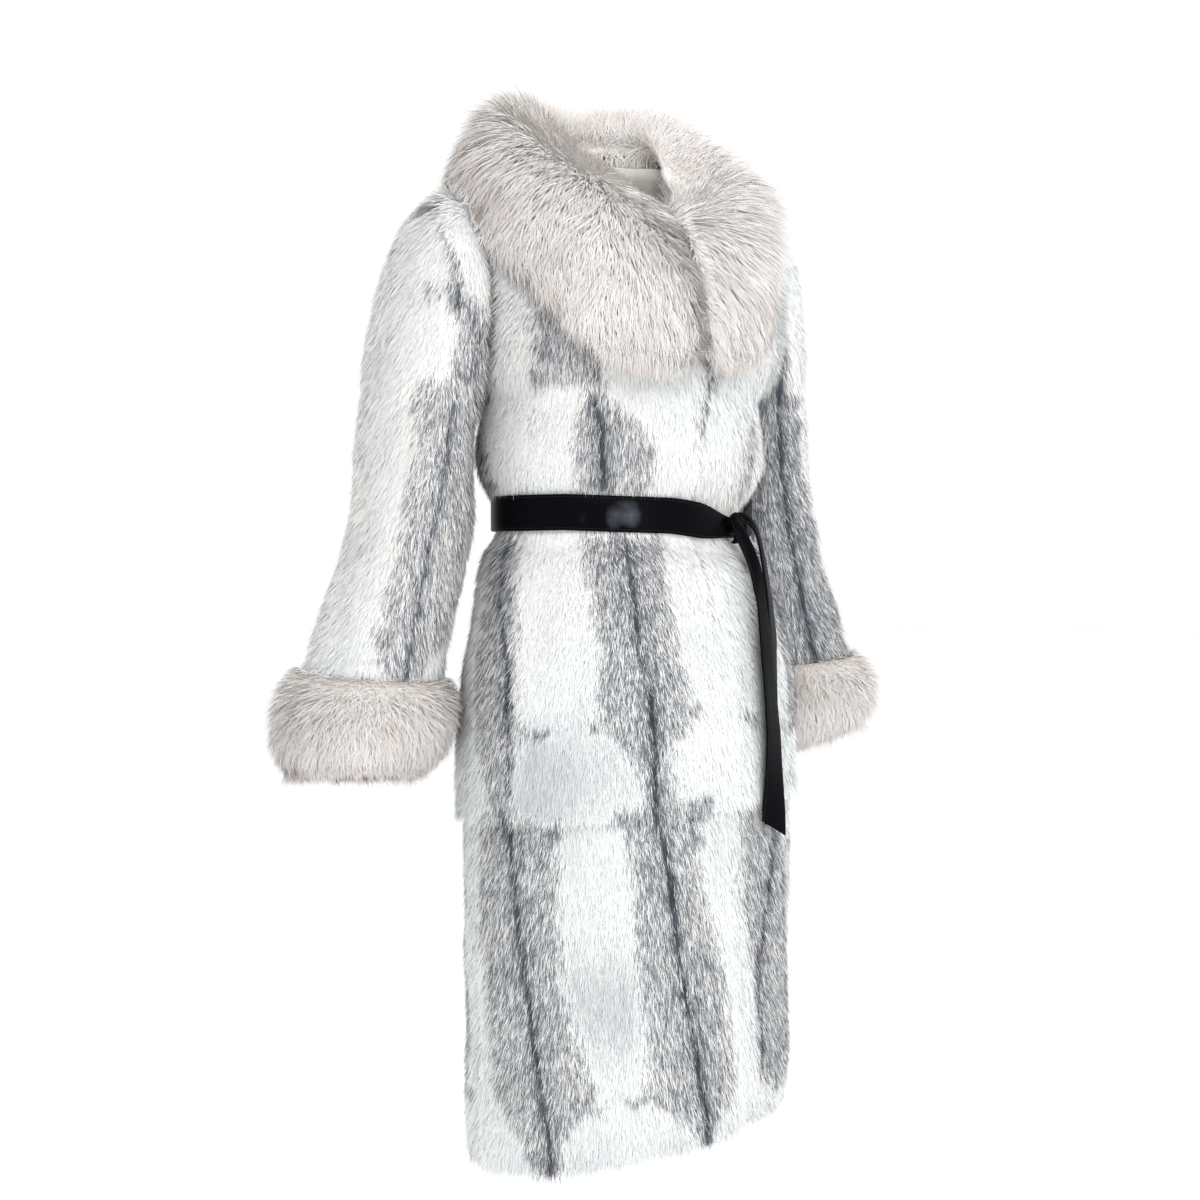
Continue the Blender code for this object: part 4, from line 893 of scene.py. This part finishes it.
def short_fur(name, side, count, seed, covers, open_hem):
    """A panel's skin and hairs. No hair grows under what covers the panel or on an open hem's edge."""
    mesh = node_bmesh(name)
    cut_to(mesh, outer_region(mesh, arm_away if side else body_away))
    coarse, fine = Surface(mesh, 1), Surface(mesh, 2)
    mesh.free()
    tone = np.maximum(dark_share(coarse.points, side) * SKIN_TONE, SKIN_LIGHTEST)
    skin = make_skin(name + "_skin", coarse, PILE + creased(coarse.points, side), SKIN_THICK, tone,
                     [SHORT_SKIN, LINING], coarse.hem() if open_hem else ())

    weight = np.ones(len(fine.triangles))
    if covers:
        weight[covered_triangles(fine, covers)] = 0.0
    if open_hem:
        centres = fine.points[fine.triangles].mean(1)
        weight[distance_to(centres, fine.points[fine.hem()]) < HEM_MARGIN] = 0.0
    count = count // FEWER
    corners, shares = scatter(fine, count, seed, weight)
    face = spread(fine.points, corners, shares)
    normals = unit(spread(fine.normals, corners, shares))
    roots = face - normals * (PILE + spread(creased(fine.points, side), corners, shares))[:, None]
    rng = np.random.default_rng(seed + 1)
    clump = noise(face, 0.011)
    swirl = 0.13 * clump[:, 0] + 0.13 * noise(face + 5.0, 0.045)[:, 0] + rng.normal(0, 0.17, count)
    flows = swung(flow_down(face, normals, side), normals, swirl)

    # dark also holds the painted shadow along the closing edge of the fronts
    dark = dark_share(face, side)
    pick = rng.random(count)
    tuft = noise(face * np.array([1, 1, 0.30]) + 9.0, 0.0026)[:, 1] * 0.5 + 0.5
    is_dark = (0.80 * pick + 0.20 * tuft) < dark * 1.02 - 0.02
    # shade paints the white hair darker below the waist: painted shade.
    shade = 0.058 - 0.043 * fade(face[:, 2], -0.40, -0.30)
    grey = 0.20 * dark + 0.26 * dark ** 3
    light = np.clip(shade + 0.09 * creaminess(face, side) + rng.normal(0, 0.010, count)
                    + grey * rng.random(count), 0.012, 0.45)
    deep = np.clip(0.35 + 0.34 * dark ** 1.5 + 0.20 * fade(dark, 0.70, 0.25)
                   + rng.normal(0, 0.09, count), 0.22, 0.98)
    tones = np.where(is_dark, deep, light)

    length = HAIR_LONG * (1 + 0.20 * rng.normal(0, 1, count).clip(-2, 2)) * (1 + 0.12 * clump[:, 1])
    length = length * np.where(is_dark, 1.05, 1.0)
    width = HAIR_WIDE * (1 + 0.25 * rng.random(count)) * WIDER
    valley = armhole_valley(face, side)
    lean = np.radians(HAIR_LEAN + 22 * valley + 3.5 * clump[:, 2] + rng.normal(0, 4, count)).clip(0.12, 1.0)
    sizes = np.stack([length * (1 + 0.25 * valley), width, lean], axis=1)
    fur = blade_mesh(name + "_fur", roots, normals, normals, flows, sizes, tones, seed + 2, **SHORT_BLADE)
    return skin, fur


# Name, side, hairs, seed, what covers it, whether its hem is open, the sheet's flat size and area.
PANELS = [
    ("back", 0, 104000, 100, ["collar", "belt"], False, (0.52, 0.74), 0.354),
    ("front_right", 0, 74000, 110, ["collar", "belt"], False, (0.30, 0.73), 0.196),
    ("front_left", 0, 58000, 120, ["collar", "belt", "front_right"], False, (0.27, 0.72), 0.174),
    ("skirt_back", 0, 73000, 130, [], True, (0.53, 0.42), 0.216),
    ("skirt_front_right", 0, 54000, 140, [], True, (0.31, 0.42), 0.124),
    ("skirt_front_left", 0, 42000, 150, ["skirt_front_right"], True, (0.23, 0.39), 0.088),
    ("sleeve_right", -1, 80000, 160, ["collar"], False, (0.46, 0.56), 0.223),
    ("sleeve_left", 1, 70000, 170, ["collar"], False, (0.46, 0.56), 0.223),
]
for name, side, count, seed, covers, open_hem, flat, area in PANELS:
    hand_in(name, *short_fur(name, side, count, seed, covers, open_hem), "short_fur", flat, area)

# ---- fox collar and cuffs

FOX_DEPTH_MOST = 0.020
FOX_SHARE = 0.40            # of the roll's thickness, where that is less
THIN = 0.01                 # the thickness where the roll ends
FOX_THICK = 0.0030
FOX_LEAN = 35.0             # degrees from the skin
FOX_OVER = 0.0065           # what a hair needs beyond the depth, as it bends and is thin at its tip
FOX_WIDE = 0.00068
RESTS_WITHIN = 0.016        # a roll's under side has no skin where another piece lies this near below
TOUCHES = 0.0026
FOLD_ROUNDS = 8
FOLD_SHARE = 0.85           # where the roll turns tightly its skin stays this near the full depth
SEAM_DEPTH = 0.0015         # a cuff's skin comes up to its face at the seam with the sleeve
SEAM_SLOPE = 0.45
NECK_MIDDLE = np.array([0.0, 0.035, 0.0])
ACROSS_THROAT = np.array([1.0, -0.5, -0.35])    # the lie of the hair where the rolls meet
THROAT_LIT = np.array([-0.30, -0.85, 0.45])
WRIST_X = 0.2805
WRIST_Y = 0.083
BODY_PANELS = ["back", "front_right", "front_left", "sleeve_right", "sleeve_left"]


def smooth_values(values, faces, rounds):
    """Evens a value out over the neighbours that share a face."""
    size = np.zeros(len(values))
    for face in faces:
        size[list(face)] += len(face)
    corners = np.concatenate([np.repeat(f, len(f)) for f in faces])
    others = np.concatenate([np.tile(f, len(f)) for f in faces])
    for _ in range(rounds):
        total = np.zeros_like(values)
        np.add.at(total, corners, values[others])
        values = total / np.maximum(size, 1)
    return values


def fox_surface(name, panels, top_edge):
    """The surface of a roll of fox without what lies on other pieces, and how deep its skin is."""
    mesh = node_bmesh(name)
    whole = BVHTree.FromBMesh(mesh)
    trees = node_trees(panels)
    keep = set()
    for face in mesh.faces:
        place = face.calc_center_median()
        rests = face.normal.z < -0.1 and any_hit(trees, place, face.normal, RESTS_WITHIN)
        if not rests and not any(tree.find_nearest(place, TOUCHES)[0] is not None for tree in trees):
            keep.add(face)
    cut_to(mesh, keep)
    surface = Surface(mesh, 1)
    mesh.free()
    sides = [(Vector(p), Vector(n)) for p, n in zip(surface.points, surface.normals)]
    depth = np.empty(len(sides))
    for i, (p, n) in enumerate(sides):
        hit = whole.ray_cast(p - n * 0.0015, -n, 0.2)
        depth[i] = min(FOX_DEPTH_MOST, FOX_SHARE * (hit[3] if hit[0] is not None else THIN))
    depth = smooth_values(depth, surface.faces, 4)
    for _ in range(FOLD_ROUNDS):
        for i, (p, n) in enumerate(sides):
            if whole.find_nearest(p - n * depth[i])[3] < FOLD_SHARE * depth[i]:
                depth[i] *= 0.8
        depth = np.minimum(depth, smooth_values(depth, surface.faces, 1) * 1.1)
    if top_edge is not None:
        seam = [surface.points[a] for a, _, _ in surface.border if surface.points[a][2] > top_edge]
        depth = np.minimum(depth, SEAM_DEPTH + SEAM_SLOPE * distance_to(surface.points, np.array(seam)))
    surface.depth = depth
    return surface


def fox_fur(name, surface, flow, count, seed, tone_of, longest):
    """A roll's skin and hairs, as flow and tone_of say."""
    x, _, z = surface.points.T
    thick = np.minimum(FOX_THICK, 0.4 * surface.depth + 0.0008)
    border = sorted({v for a, b, _ in surface.border for v in (a, b)})
    rim = distance_to(surface.points, surface.points[border])
    # The skin is darker near its outer lower rim: painted shade under the roll's lip.
    outer = fade(z, -0.62, 0.01) * fade(np.abs(x), 0.075, 0.03)
    under = 0.2 + 0.40 * fade(rim, 0.016, -0.012) * outer
    skin = make_skin(name + "_skin", surface, surface.depth, thick, under, [FOX_SKIN, FOX_SKIN], border)

    count = count // FEWER
    corners, shares = scatter(surface, count, seed)
    face = spread(surface.points, corners, shares)
    normals = unit(spread(surface.normals, corners, shares))
    depth = spread(surface.depth, corners, shares)
    roots = face - normals * depth[:, None]
    rng = np.random.default_rng(seed + 1)
    flows, stand, lit, least = flow(face, normals)
    clump = noise(face, 0.020)
    fine = noise(face + 4.0, 0.007)
    loose = 1 + 2.6 * np.maximum(stand, 0)
    swirl = 0.34 * clump[:, 0] + 0.20 * fine[:, 0] + rng.normal(0, 0.18, count) * loose
    flows = swung(flows, normals, swirl)
    plain = FOX_LEAN + 28 * stand
    lean = np.radians(plain + 7 * clump[:, 1] + 5 * fine[:, 1] + rng.normal(0, 5, count)).clip(0.15, 1.5)
    length = np.maximum(np.minimum((depth + FOX_OVER) / np.sin(np.radians(plain)), longest), least)
    length = length * (1 + 0.10 * rng.normal(0, 1, count).clip(-2, 2) + 0.08 * clump[:, 2])
    width = FOX_WIDE * (1 + 0.35 * rng.random(count)) * WIDER
    sizes = np.stack([length, width, lean], axis=1)
    uneven = 0.06 + 0.09 * smoothstep(stand)
    tones = np.clip(tone_of(face, normals) + rng.normal(0, 1, count) * uneven, 0.01, 0.99)
    fur = blade_mesh(name + "_fur", roots, normals, lit, flows, sizes, tones, seed + 2, **FOX_BLADE)
    return skin, fur


def from_neck(points):
    """Level unit vectors away from the neck's middle."""
    away = points - NECK_MIDDLE
    away[:, 2] = 0
    return unit(away)


def collar_flow(points, normals):
    """The lie of the collar's hair: outwards from the neck, over the roll and down.

    With it come how far the hair stands up, the normals it is shaded by and its least length."""
    x, y, z = points.T
    away = from_neck(points)
    outwards = dot(normals, away)
    facing = fade(outwards, -0.55, 0.7)[:, None]
    lip = fade(normals[:, 2:3], 0.05, -0.4) * facing
    lie = away * (0.9 - 0.8 * lip) + UP * 0.6 * (1 - facing) - UP * (0.55 + 0.3 * lip) * facing
    lie = in_surface(lie, normals)
    crest = fade(outwards, 0.55, -0.6)
    inner = fade(outwards, -0.05, -0.4)
    front = fade(y, 0.02, -0.06)
    reach_in = inner * front * fade(x, -0.01, 0.03)
    near = fade(x, 0.03, -0.05) * front
    lit = unit(normals + (away * 1.2 * near[:, None] + UP * 0.6) * (crest * (0.4 + 0.6 * inner))[:, None])
    # where the rolls meet at the throat, hair crosses to the wearer's left
    cross = fade(outwards, 0.55, -0.3) * fade(x, -0.080, 0.03)
    cross = cross * fade(x, 0.036, -0.02) * fade(y, -0.050, -0.03)
    cross = (cross * (0.25 + 0.75 * fade(z, -0.165, 0.05)))[:, None]
    lit = unit(lit * (1 - cross) + THROAT_LIT * cross)
    lie = lie * (1 - cross) + in_surface(ACROSS_THROAT, normals) * cross
    cross = cross[:, 0]
    wall = inner * fade(x, 0.03, -0.05) * fade(y, 0.09, -0.06)
    stand = crest - 0.5 * lip[:, 0] - 0.45 * inner + 0.20 * reach_in - 0.9 * cross + 0.35 * wall
    # inside the back of the neck it hangs down over the lining's edge
    hang = (inner * fade(z, 0.052, -0.012) * fade(y, 0.05, 0.03))[:, None]
    lie = lie * (1 - hang) - UP * hang
    return unit(lie + 1e-4), stand, lit, np.maximum(0.021 * inner, 0.024 * cross)


def cuff_flow(points, normals):
    """The same for a cuff: down the outside and in under the edge, and up more at the top."""
    x, _, z = points.T
    out = points - np.stack([np.sign(x) * WRIST_X, np.full(len(points), WRIST_Y), z], axis=1)
    low = fade(points[:, 2:3], -0.625, -0.04)
    lie = in_surface(DOWN - unit(out) * (0.25 + 0.9 * low), normals)
    return unit(lie + 1e-4), 1.05 * fade(z, -0.685, 0.11) - 0.45 + 0.25 * low[:, 0], normals, 0.0


def collar_tone(points, normals):
    """The palette's tone of the collar's hair: darker inside the neck, on the lip and at the sides."""
    x, y, _ = points.T
    base = 0.11 + 0.11 * noise(points, 0.045)[:, 0] + 0.08 * noise(points + 1, 0.015)[:, 0]
    neck = np.linalg.norm((points - np.array([0.0, 0.04, 0.05])) * np.array([1, 1, 0.8]), axis=1)
    outwards = dot(normals, from_neck(points))
    lip = fade(normals[:, 2], 0.10, -0.5) * fade(outwards, 0.3, 0.5)
    patches = 0.16 * noise(points + 2, 0.006)[:, 1] + 0.12 * noise(points + 2, 0.013)[:, 0]
    base = base + fade(outwards, 0.15, -0.4) * patches
    return (base + 0.14 * fade(neck, 0.115, -0.05) - 0.07 * fade(y, 0.02, -0.10) + 0.30 * lip
            + 0.09 * fade(np.abs(x), 0.10, 0.06))


def cuff_tone(points, normals):
    """The same for a cuff: darker below and on its inner side."""
    x, _, z = points.T
    base = 0.17 + 0.09 * noise(points, 0.040)[:, 0] + 0.07 * noise(points + 1, 0.014)[:, 0]
    inner = fade(np.abs(x), 0.28, -0.05) * fade(z, -0.64, 0.05)
    return base + 0.24 * fade(z, -0.625, -0.05) + 0.12 * inner


# Name, what it may lie on, the seam's least height, flow, hairs, seed, tone, flat size, area, longest hair.
FOX_PIECES = [
    ("collar", BODY_PANELS, None, collar_flow, 66000, 200, collar_tone, (1.10, 0.29), 0.307, 0.042),
    ("cuff_right", ["sleeve_right"], -0.59, cuff_flow, 30000, 210, cuff_tone, (0.66, 0.21), 0.134, 0.027),
    ("cuff_left", ["sleeve_left"], -0.59, cuff_flow, 26000, 220, cuff_tone, (0.66, 0.21), 0.134, 0.027),
]
for name, panels, top_edge, flow, count, seed, tone_of, flat, area, longest in FOX_PIECES:
    skin, fur = fox_fur(name, fox_surface(name, panels, top_edge), flow, count, seed, tone_of, longest)
    hand_in(name, skin, fur, "fox_fur", flat, area)

# ---- belt

BELT_Z = -0.382
BELT_WIDTH = 0.039
BELT_CLEAR = 0.0007
BELT_THICK = 0.0030
WAIST_X = 0.154             # the waist's half width, its reach forward and back, and its middle
WAIST_FRONT = 0.121
WAIST_BACK = 0.115
WAIST_Y = 0.012
KNOT_DEG = 31.0
KNOT_DIP = 0.010
KNOT_DIP_REACH = 40.0
GATHER_REACH = 25.0         # within these degrees of the knot the strap gathers by this share
GATHERED = 0.43
BELT_STEPS = 168
TAIL_STEPS = 60
# The section of a strap: place across it and height over its middle plane, in half widths and
# half thicknesses; the stitches lie in the grooves.
STRAP_FACE = [(-1.0, 0.0), (-0.965, 0.75), (-0.90, 1.0), (-0.86, 0.86), (-0.82, 1.0), (-0.45, 1.06),
              (0.0, 1.1), (0.45, 1.06), (0.82, 1.0), (0.86, 0.86), (0.90, 1.0), (0.965, 0.75), (1.0, 0.0)]
STRAP_BACK = [(0.94, -0.9), (0.4, -1.0), (-0.4, -1.0), (-0.94, -0.9)]
STITCH_AT = 0.86
STITCH_LONG = 0.0026
STITCH_STEP = 0.0040
STITCH_WIDE = 0.00050
STITCH_HIGH = 0.00030
STITCH_SUNK = 0.94
PLEAT_TURN = 3.3 * math.pi
# A stitch is a small block: half its length, half its width and its height at each corner, and its faces.
STITCH_CORNERS = [(dx * long, dy * wide, dz) for dz, long, wide in ((-1, 1, 1), (1, 0.8, 0.6))
                  for dx, dy in ((-1, -1), (1, -1), (1, 1), (-1, 1))]
STITCH_QUADS = [(3, 2, 1, 0), (4, 5, 6, 7), (0, 1, 5, 4), (1, 2, 6, 5), (2, 3, 7, 6), (3, 0, 4, 7)]
CORNER_DEG = 55.0           # a strap's edge sharper than this isn't shaded smooth
# Scuff marks that brighten the belt, with a painted highlight in those near 0.84 of the way round: place
# along it as a share, place across, size, strength.
SCUFFS_AND_HIGHLIGHT = [(0.841, -0.10, 0.013, 0.76), (0.853, 0.05, 0.008, 0.50), (0.829, 0.55, 0.006, 0.45),
          (0.790, 0.25, 0.014, 0.26), (0.60, 0.1, 0.016, 0.35), (0.35, -0.2, 0.020, 0.35),
          (0.20, 0.3, 0.014, 0.3)]
LEATHER_TONE_BASE = 0.06
# How far the belt rises and sags on its way round: angles and rises.
BELT_SAG = ([-130.0, -50.0, 9.0, 31.0, 70.0], [0.0, 0.0034, -0.0018, -0.0034, 0.0])


def smooth_path(points, count):
    """A Catmull-Rom curve through the points, at even steps of its own parameter."""
    points = np.asarray(points, dtype=float)
    padded = np.vstack([2 * points[0] - points[1], points, 2 * points[-1] - points[-2]])
    at = np.linspace(0, len(points) - 1, count)
    k = np.minimum(at.astype(int), len(points) - 2)
    t = (at - k)[:, None]
    a, b, c, d = (padded[k + n] for n in range(4))
    bend, twist = 2 * a - 5 * b + 4 * c - d, 3 * b - a - 3 * c + d
    return 0.5 * (2 * b + (c - a) * t + bend * t ** 2 + twist * t ** 3)


def strap_parts(centres, outward, widths, thick, closed, slant=0.0, pleats=0.0, stitched=True,
                scuffs_and_highlight=()):
    """Points, faces, material slots and tones of one flat strap along a path.

    slant moves the two corners of its end apart, and pleats is how deep it folds at each centre."""
    count = len(centres)
    ahead = np.roll(centres, -1, axis=0) - np.roll(centres, 1, axis=0)
    if not closed:
        ahead[0] = centres[1] - centres[0]
        ahead[-1] = centres[-1] - centres[-2]
    ahead = unit(ahead)
    across = unit(np.cross(ahead, outward))
    outward = np.cross(across, ahead)
    section = STRAP_FACE + STRAP_BACK
    half = np.asarray(widths).reshape(-1, 1) / 2
    pleats = np.broadcast_to(pleats, count)
    columns = []
    for u, v in section:
        fold = (pleats * np.cos(PLEAT_TURN * u))[:, None] * (1 if v >= 0 else 0.3)
        end = np.zeros_like(ahead)
        end[-1] = ahead[-1] * slant * u
        end[-2] = ahead[-2] * slant * u * 0.5
        columns.append(centres + across * half * u + outward * (thick / 2 * v + fold) + end)
    points = np.stack(columns, axis=1).reshape(-1, 3)
    per = len(section)
    faces = []
    for i in range(count if closed else count - 1):
        k = (i + 1) % count
        for j in range(per):
            m = (j + 1) % per
            faces.append((i * per + j, i * per + m, k * per + m, k * per + j))
    if not closed:
        faces += [tuple(range(per))[::-1], tuple((count - 1) * per + j for j in range(per))]
    steps = distances_along(centres)
    share = np.repeat(np.arange(count) / count, per)
    place = np.tile([u for u, _ in section], count)
    tone = np.full(len(points), LEATHER_TONE_BASE)
    # Scuff marks and a painted highlight lift the leather's tone here.
    for along, u, size, strength in scuffs_and_highlight:
        tone += strength * np.exp(-((share - along) * steps[-1] / size) ** 2 - ((place - u) / 0.6) ** 2)
    slots = [0] * len(faces)
    points, tone = list(points), list(tone)
    stations = np.arange(STITCH_STEP, steps[-1] - STITCH_STEP, STITCH_STEP) if stitched else ()
    for u in (-STITCH_AT, STITCH_AT):
        for at in stations:
            i = min(int(np.searchsorted(steps, at)) - 1, count - 2)
            t = (at - steps[i]) / (steps[i + 1] - steps[i])
            middle, way, side, up, wide = (a[i] * (1 - t) + a[i + 1] * t
                                           for a in (centres, ahead, across, outward, half))
            middle = middle + side * wide * u + up * (thick / 2 * STITCH_SUNK)
            faces += [tuple(len(points) + n for n in quad) for quad in STITCH_QUADS]
            slots += [1] * len(STITCH_QUADS)
            for dx, dy, dz in STITCH_CORNERS:
                points.append(middle + way * dx * STITCH_LONG / 2 + side * dy * STITCH_WIDE / 2
                              + up * dz * STITCH_HIGH)
                tone.append(0.0)
    return points, faces, slots, tone


def strap_object(name, node, parts):
    """One mesh of straps that stands for a CAD node."""
    points, faces, slots, tone = [], [], [], []
    for part in parts:
        faces += [tuple(v + len(points) for v in face) for face in part[1]]
        points += part[0]
        slots += part[2]
        tone += part[3]
    item = new_object(name, points, faces, [LEATHER, THREAD])
    set_slots_and_tone(item.data, slots, tone)
    mesh = bmesh.new()
    mesh.from_mesh(item.data)
    bmesh.ops.recalc_face_normals(mesh, faces=mesh.faces)
    mesh.to_mesh(item.data)
    mesh.free()
    item.data.set_sharp_from_angle(angle=math.radians(CORNER_DEG))
    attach(item, "root")
    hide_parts(node)
    return item


def knot_nearness(deg, reach):
    """1 at the knot and 0 from reach degrees away."""
    return 0.5 + 0.5 * np.cos(np.pi * np.minimum(1, np.abs(turned(deg - KNOT_DEG)) / reach))


def belt_point(deg, rise, out):
    """Places on the belt, rise above its middle line and out from the waist's face, and the way out."""
    deg = np.atleast_1d(np.asarray(deg, dtype=float))
    phi = np.radians(deg)
    reach = np.where(np.abs(turned(deg)) <= 90, WAIST_FRONT, WAIST_BACK)
    base = np.stack([WAIST_X * np.sin(phi), WAIST_Y - reach * np.cos(phi),
                     BELT_Z - KNOT_DIP * knot_nearness(deg, KNOT_DIP_REACH) + rise], axis=1)
    away = unit(np.stack([base[:, 0] * BODY_LEAN, base[:, 1] - WAIST_Y, base[:, 2] * 0], axis=1))
    return base + away * np.reshape(out, (-1, 1)), away


def make_belt():
    """The strap round the waist; it gathers into pleats as it reaches the knot."""
    deg = np.arange(BELT_STEPS) * 360.0 / BELT_STEPS + KNOT_DEG
    near = knot_nearness(deg, GATHER_REACH)
    widths = BELT_WIDTH * (1 - GATHERED * near)
    rise = np.interp(turned(deg), *BELT_SAG) - (BELT_WIDTH - widths) * 0.05
    centres, away = belt_point(deg, rise, BELT_CLEAR + BELT_THICK / 2)
    return strap_object("belt_strap", "belt", [strap_parts(centres, away, widths, BELT_THICK, True,
                                                           pleats=0.0012 * near, scuffs_and_highlight=SCUFFS_AND_HIGHLIGHT)])


def knot_frame(rise, out):
    """A place at the knot, the way out of the coat there, and the way along the belt."""
    places, away = belt_point(KNOT_DEG, rise, out)
    return places[0], away[0], np.array([-away[0][1], away[0][0], 0.0])


def knot_place(along, out, rise):
    """A place by the knot: along the belt to the wearer's left, out from its face, and up."""
    place, _, side = knot_frame(rise, BELT_CLEAR + BELT_THICK + out)
    return place + side * along


# The knot's two folds of the strap: places along, out and up, and then how many points, the first
# and last width, the thickness and the pleats' depth.
KNOT_FOLDS = [
    ([(-0.010, 0.0008, 0.0080), (-0.010, 0.0045, 0.0095), (-0.009, 0.0080, 0.0070),
      (-0.008, 0.0095, -0.0020), (-0.006, 0.0085, -0.0120), (-0.004, 0.0050, -0.0190),
      (-0.004, 0.0010, -0.0200)], 26, 0.017, 0.014, 0.0030, 0.0006),
    ([(-0.016, 0.0010, 0.0020), (-0.012, 0.0075, 0.0050), (-0.006, 0.0105, 0.0060),
      (0.001, 0.0110, 0.0030), (0.006, 0.0095, -0.0040), (0.008, 0.0060, -0.0120)],
     22, 0.013, 0.011, 0.0028, 0.0005),
]


def make_knot():
    """The strap's end wrapped over the belt, and the fold that crosses it."""
    middle = knot_place(-0.005, -0.003, -0.005)
    parts = []
    for places, count, first, last, thick, pleats in KNOT_FOLDS:
        path = smooth_path([knot_place(*p) for p in places], count)
        parts.append(strap_parts(path, unit(path - middle), np.linspace(first, last, count), thick, False,
                                 pleats=pleats, stitched=False))
    return strap_object("belt_knot_wrap", "belt_knot", parts)


def tail_line(node):
    """The middle of a hanging strap of the CAD, from its top to its end."""
    mesh = node_bmesh(node)
    corners = np.array(sorted((v.co[:] for v in mesh.verts), key=lambda p: -p[2]))
    mesh.free()
    return corners[:len(corners) // 4 * 4].reshape(-1, 4, 3).mean(1)


# A step along the belt and a step out from it move an end to the front view's right by these shares.
ALONG_SHARE = 0.573
OUT_SHARE = 0.82
TAIL_DROP = 0.970           # the ends drop by this share of the CAD's
TAIL_THICK = 0.0026
TAIL_PLEATS = 0.0010        # the pleats' depth at the knot, and the share of the end that they reach
TAIL_PLEATED = 0.30


def make_tail(node, name, start, skip, aside, faces, widths, slant):
    """A hanging end: it leaves the knot by the places in start, falls on the coat and turns.

    aside says how far it lies to the front view's right of the knot, by its drop below the knot;
    faces and widths give its angle and width by the share of its length. skip leaves out the
    CAD strap's first rows."""
    line = tail_line(node)
    _, away, side = knot_frame(0.0, 0.0)
    base = knot_place(0.0, 0.0, 0.0)
    out = dot(line - base, away)
    along = (np.interp(base[2] - line[:, 2], *aside) - OUT_SHARE * out) / ALONG_SHARE
    drop = (line[:, 2] - base[2]) * TAIL_DROP
    line = base + away * out[:, None] + side * along[:, None] + UP * drop[:, None]
    path = smooth_path([knot_place(*p) for p in start] + list(line[skip:]), TAIL_STEPS)
    steps = distances_along(path)
    share = steps / steps[-1]
    deg = np.radians(np.interp(share, *faces))
    facing = np.stack([np.sin(deg), -np.cos(deg), deg * 0], axis=1)
    pleats = TAIL_PLEATS * (1 - smoothstep(share / TAIL_PLEATED))
    part = strap_parts(path, facing, np.interp(share, *widths), TAIL_THICK, False, slant, pleats)
    return strap_object(name, node, [part])


belt = make_belt()
knot = make_knot()
tail_outer = make_tail(
    "belt_tail_outer", "belt_end_outer",
    [(-0.014, 0.0070, 0.0060), (-0.018, 0.0130, -0.0020), (-0.020, 0.0190, -0.0120)], 1,
    ([0.020, 0.043, 0.073, 0.098, 0.154, 0.210, 0.252, 0.289, 0.322],
     [0.0085, 0.0160, 0.0220, 0.0245, 0.0297, 0.0350, 0.0377, 0.0387, 0.0382]),
    ([0.0, 0.13, 0.22, 0.30, 0.60, 0.73, 0.84, 0.93, 1.0], [-10, -8, 8, 24, 32, 27, 20, 6, 4]),
    ([0.0, 0.06, 0.15, 0.30, 0.45, 0.60, 1.0], [0.012, 0.0155, 0.0155, 0.019, 0.027, 0.033, 0.034]), -0.010)
tail_inner = make_tail(
    "belt_tail_inner", "belt_end_inner",
    [(-0.005, 0.0070, 0.0080), (0.005, 0.0130, 0.0060), (0.012, 0.0200, -0.0060), (0.011, 0.0270, -0.0250),
     (0.010, 0.0315, -0.0440)], 2,
    ([0.047, 0.073, 0.098, 0.128, 0.154, 0.210, 0.322],
     [0.0320, 0.0350, 0.0369, 0.0385, 0.0372, 0.0365, 0.0385]),
    ([0.0, 0.1, 0.3, 0.6, 1.0], [38, 40, 38, 34, 20]),
    ([0.0, 0.06, 0.25, 0.5, 1.0], [0.010, 0.013, 0.018, 0.027, 0.034]), 0.010)

# ---- stage and light

FLOOR_BELOW = 0.30
FLOOR_HALF = 12.0


def make_stage():
    z = CAD_BOX[0].z - FLOOR_BELOW
    corners = [(x * FLOOR_HALF, y * FLOOR_HALF, z) for x, y in ((-1, -1), (1, -1), (1, 1), (-1, 1))]
    material = Material("studio_floor", 0.6, 0.2)
    material.shade({"Base Color": (0.97, 0.97, 0.97, 1.0)})
    new_object("floor", corners, [(0, 1, 2, 3)], [material.data], smooth=False)


# Name, place, target's height, size, power.
LIGHTS = [
    ("key", (-1.2, -2.6, 1.2), -0.5, 1.6, 38.0),
    ("fill", (2.6, -1.6, 0.2), -0.5, 2.0, 14.0),
    ("top", (0.0, 0.6, 2.4), -0.5, 2.0, 20.0),
    ("front", (-0.08, -2.40, -0.40), -0.4, 0.30, 7.0),
]
WORLD_STRENGTH = 1.03


def make_light():
    world = bpy.data.worlds.new("studio")
    bpy.context.scene.world = world
    world.use_nodes = True
    background = world.node_tree.nodes["Background"]
    background.inputs["Color"].default_value = (1.0, 1.0, 1.0, 1.0)
    background.inputs["Strength"].default_value = WORLD_STRENGTH
    for name, place, target_z, size, power in LIGHTS:
        data = bpy.data.lights.new(name, "AREA")
        data.shape = "DISK"
        data.size = size
        data.energy = power
        aim(put_in_scene(name, data), place, Vector((0.0, 0.0, target_z)) - Vector(place))
    bpy.context.scene.view_settings.view_transform = "Standard"
    bpy.context.scene.view_settings.look = "None"


make_stage()
make_light()
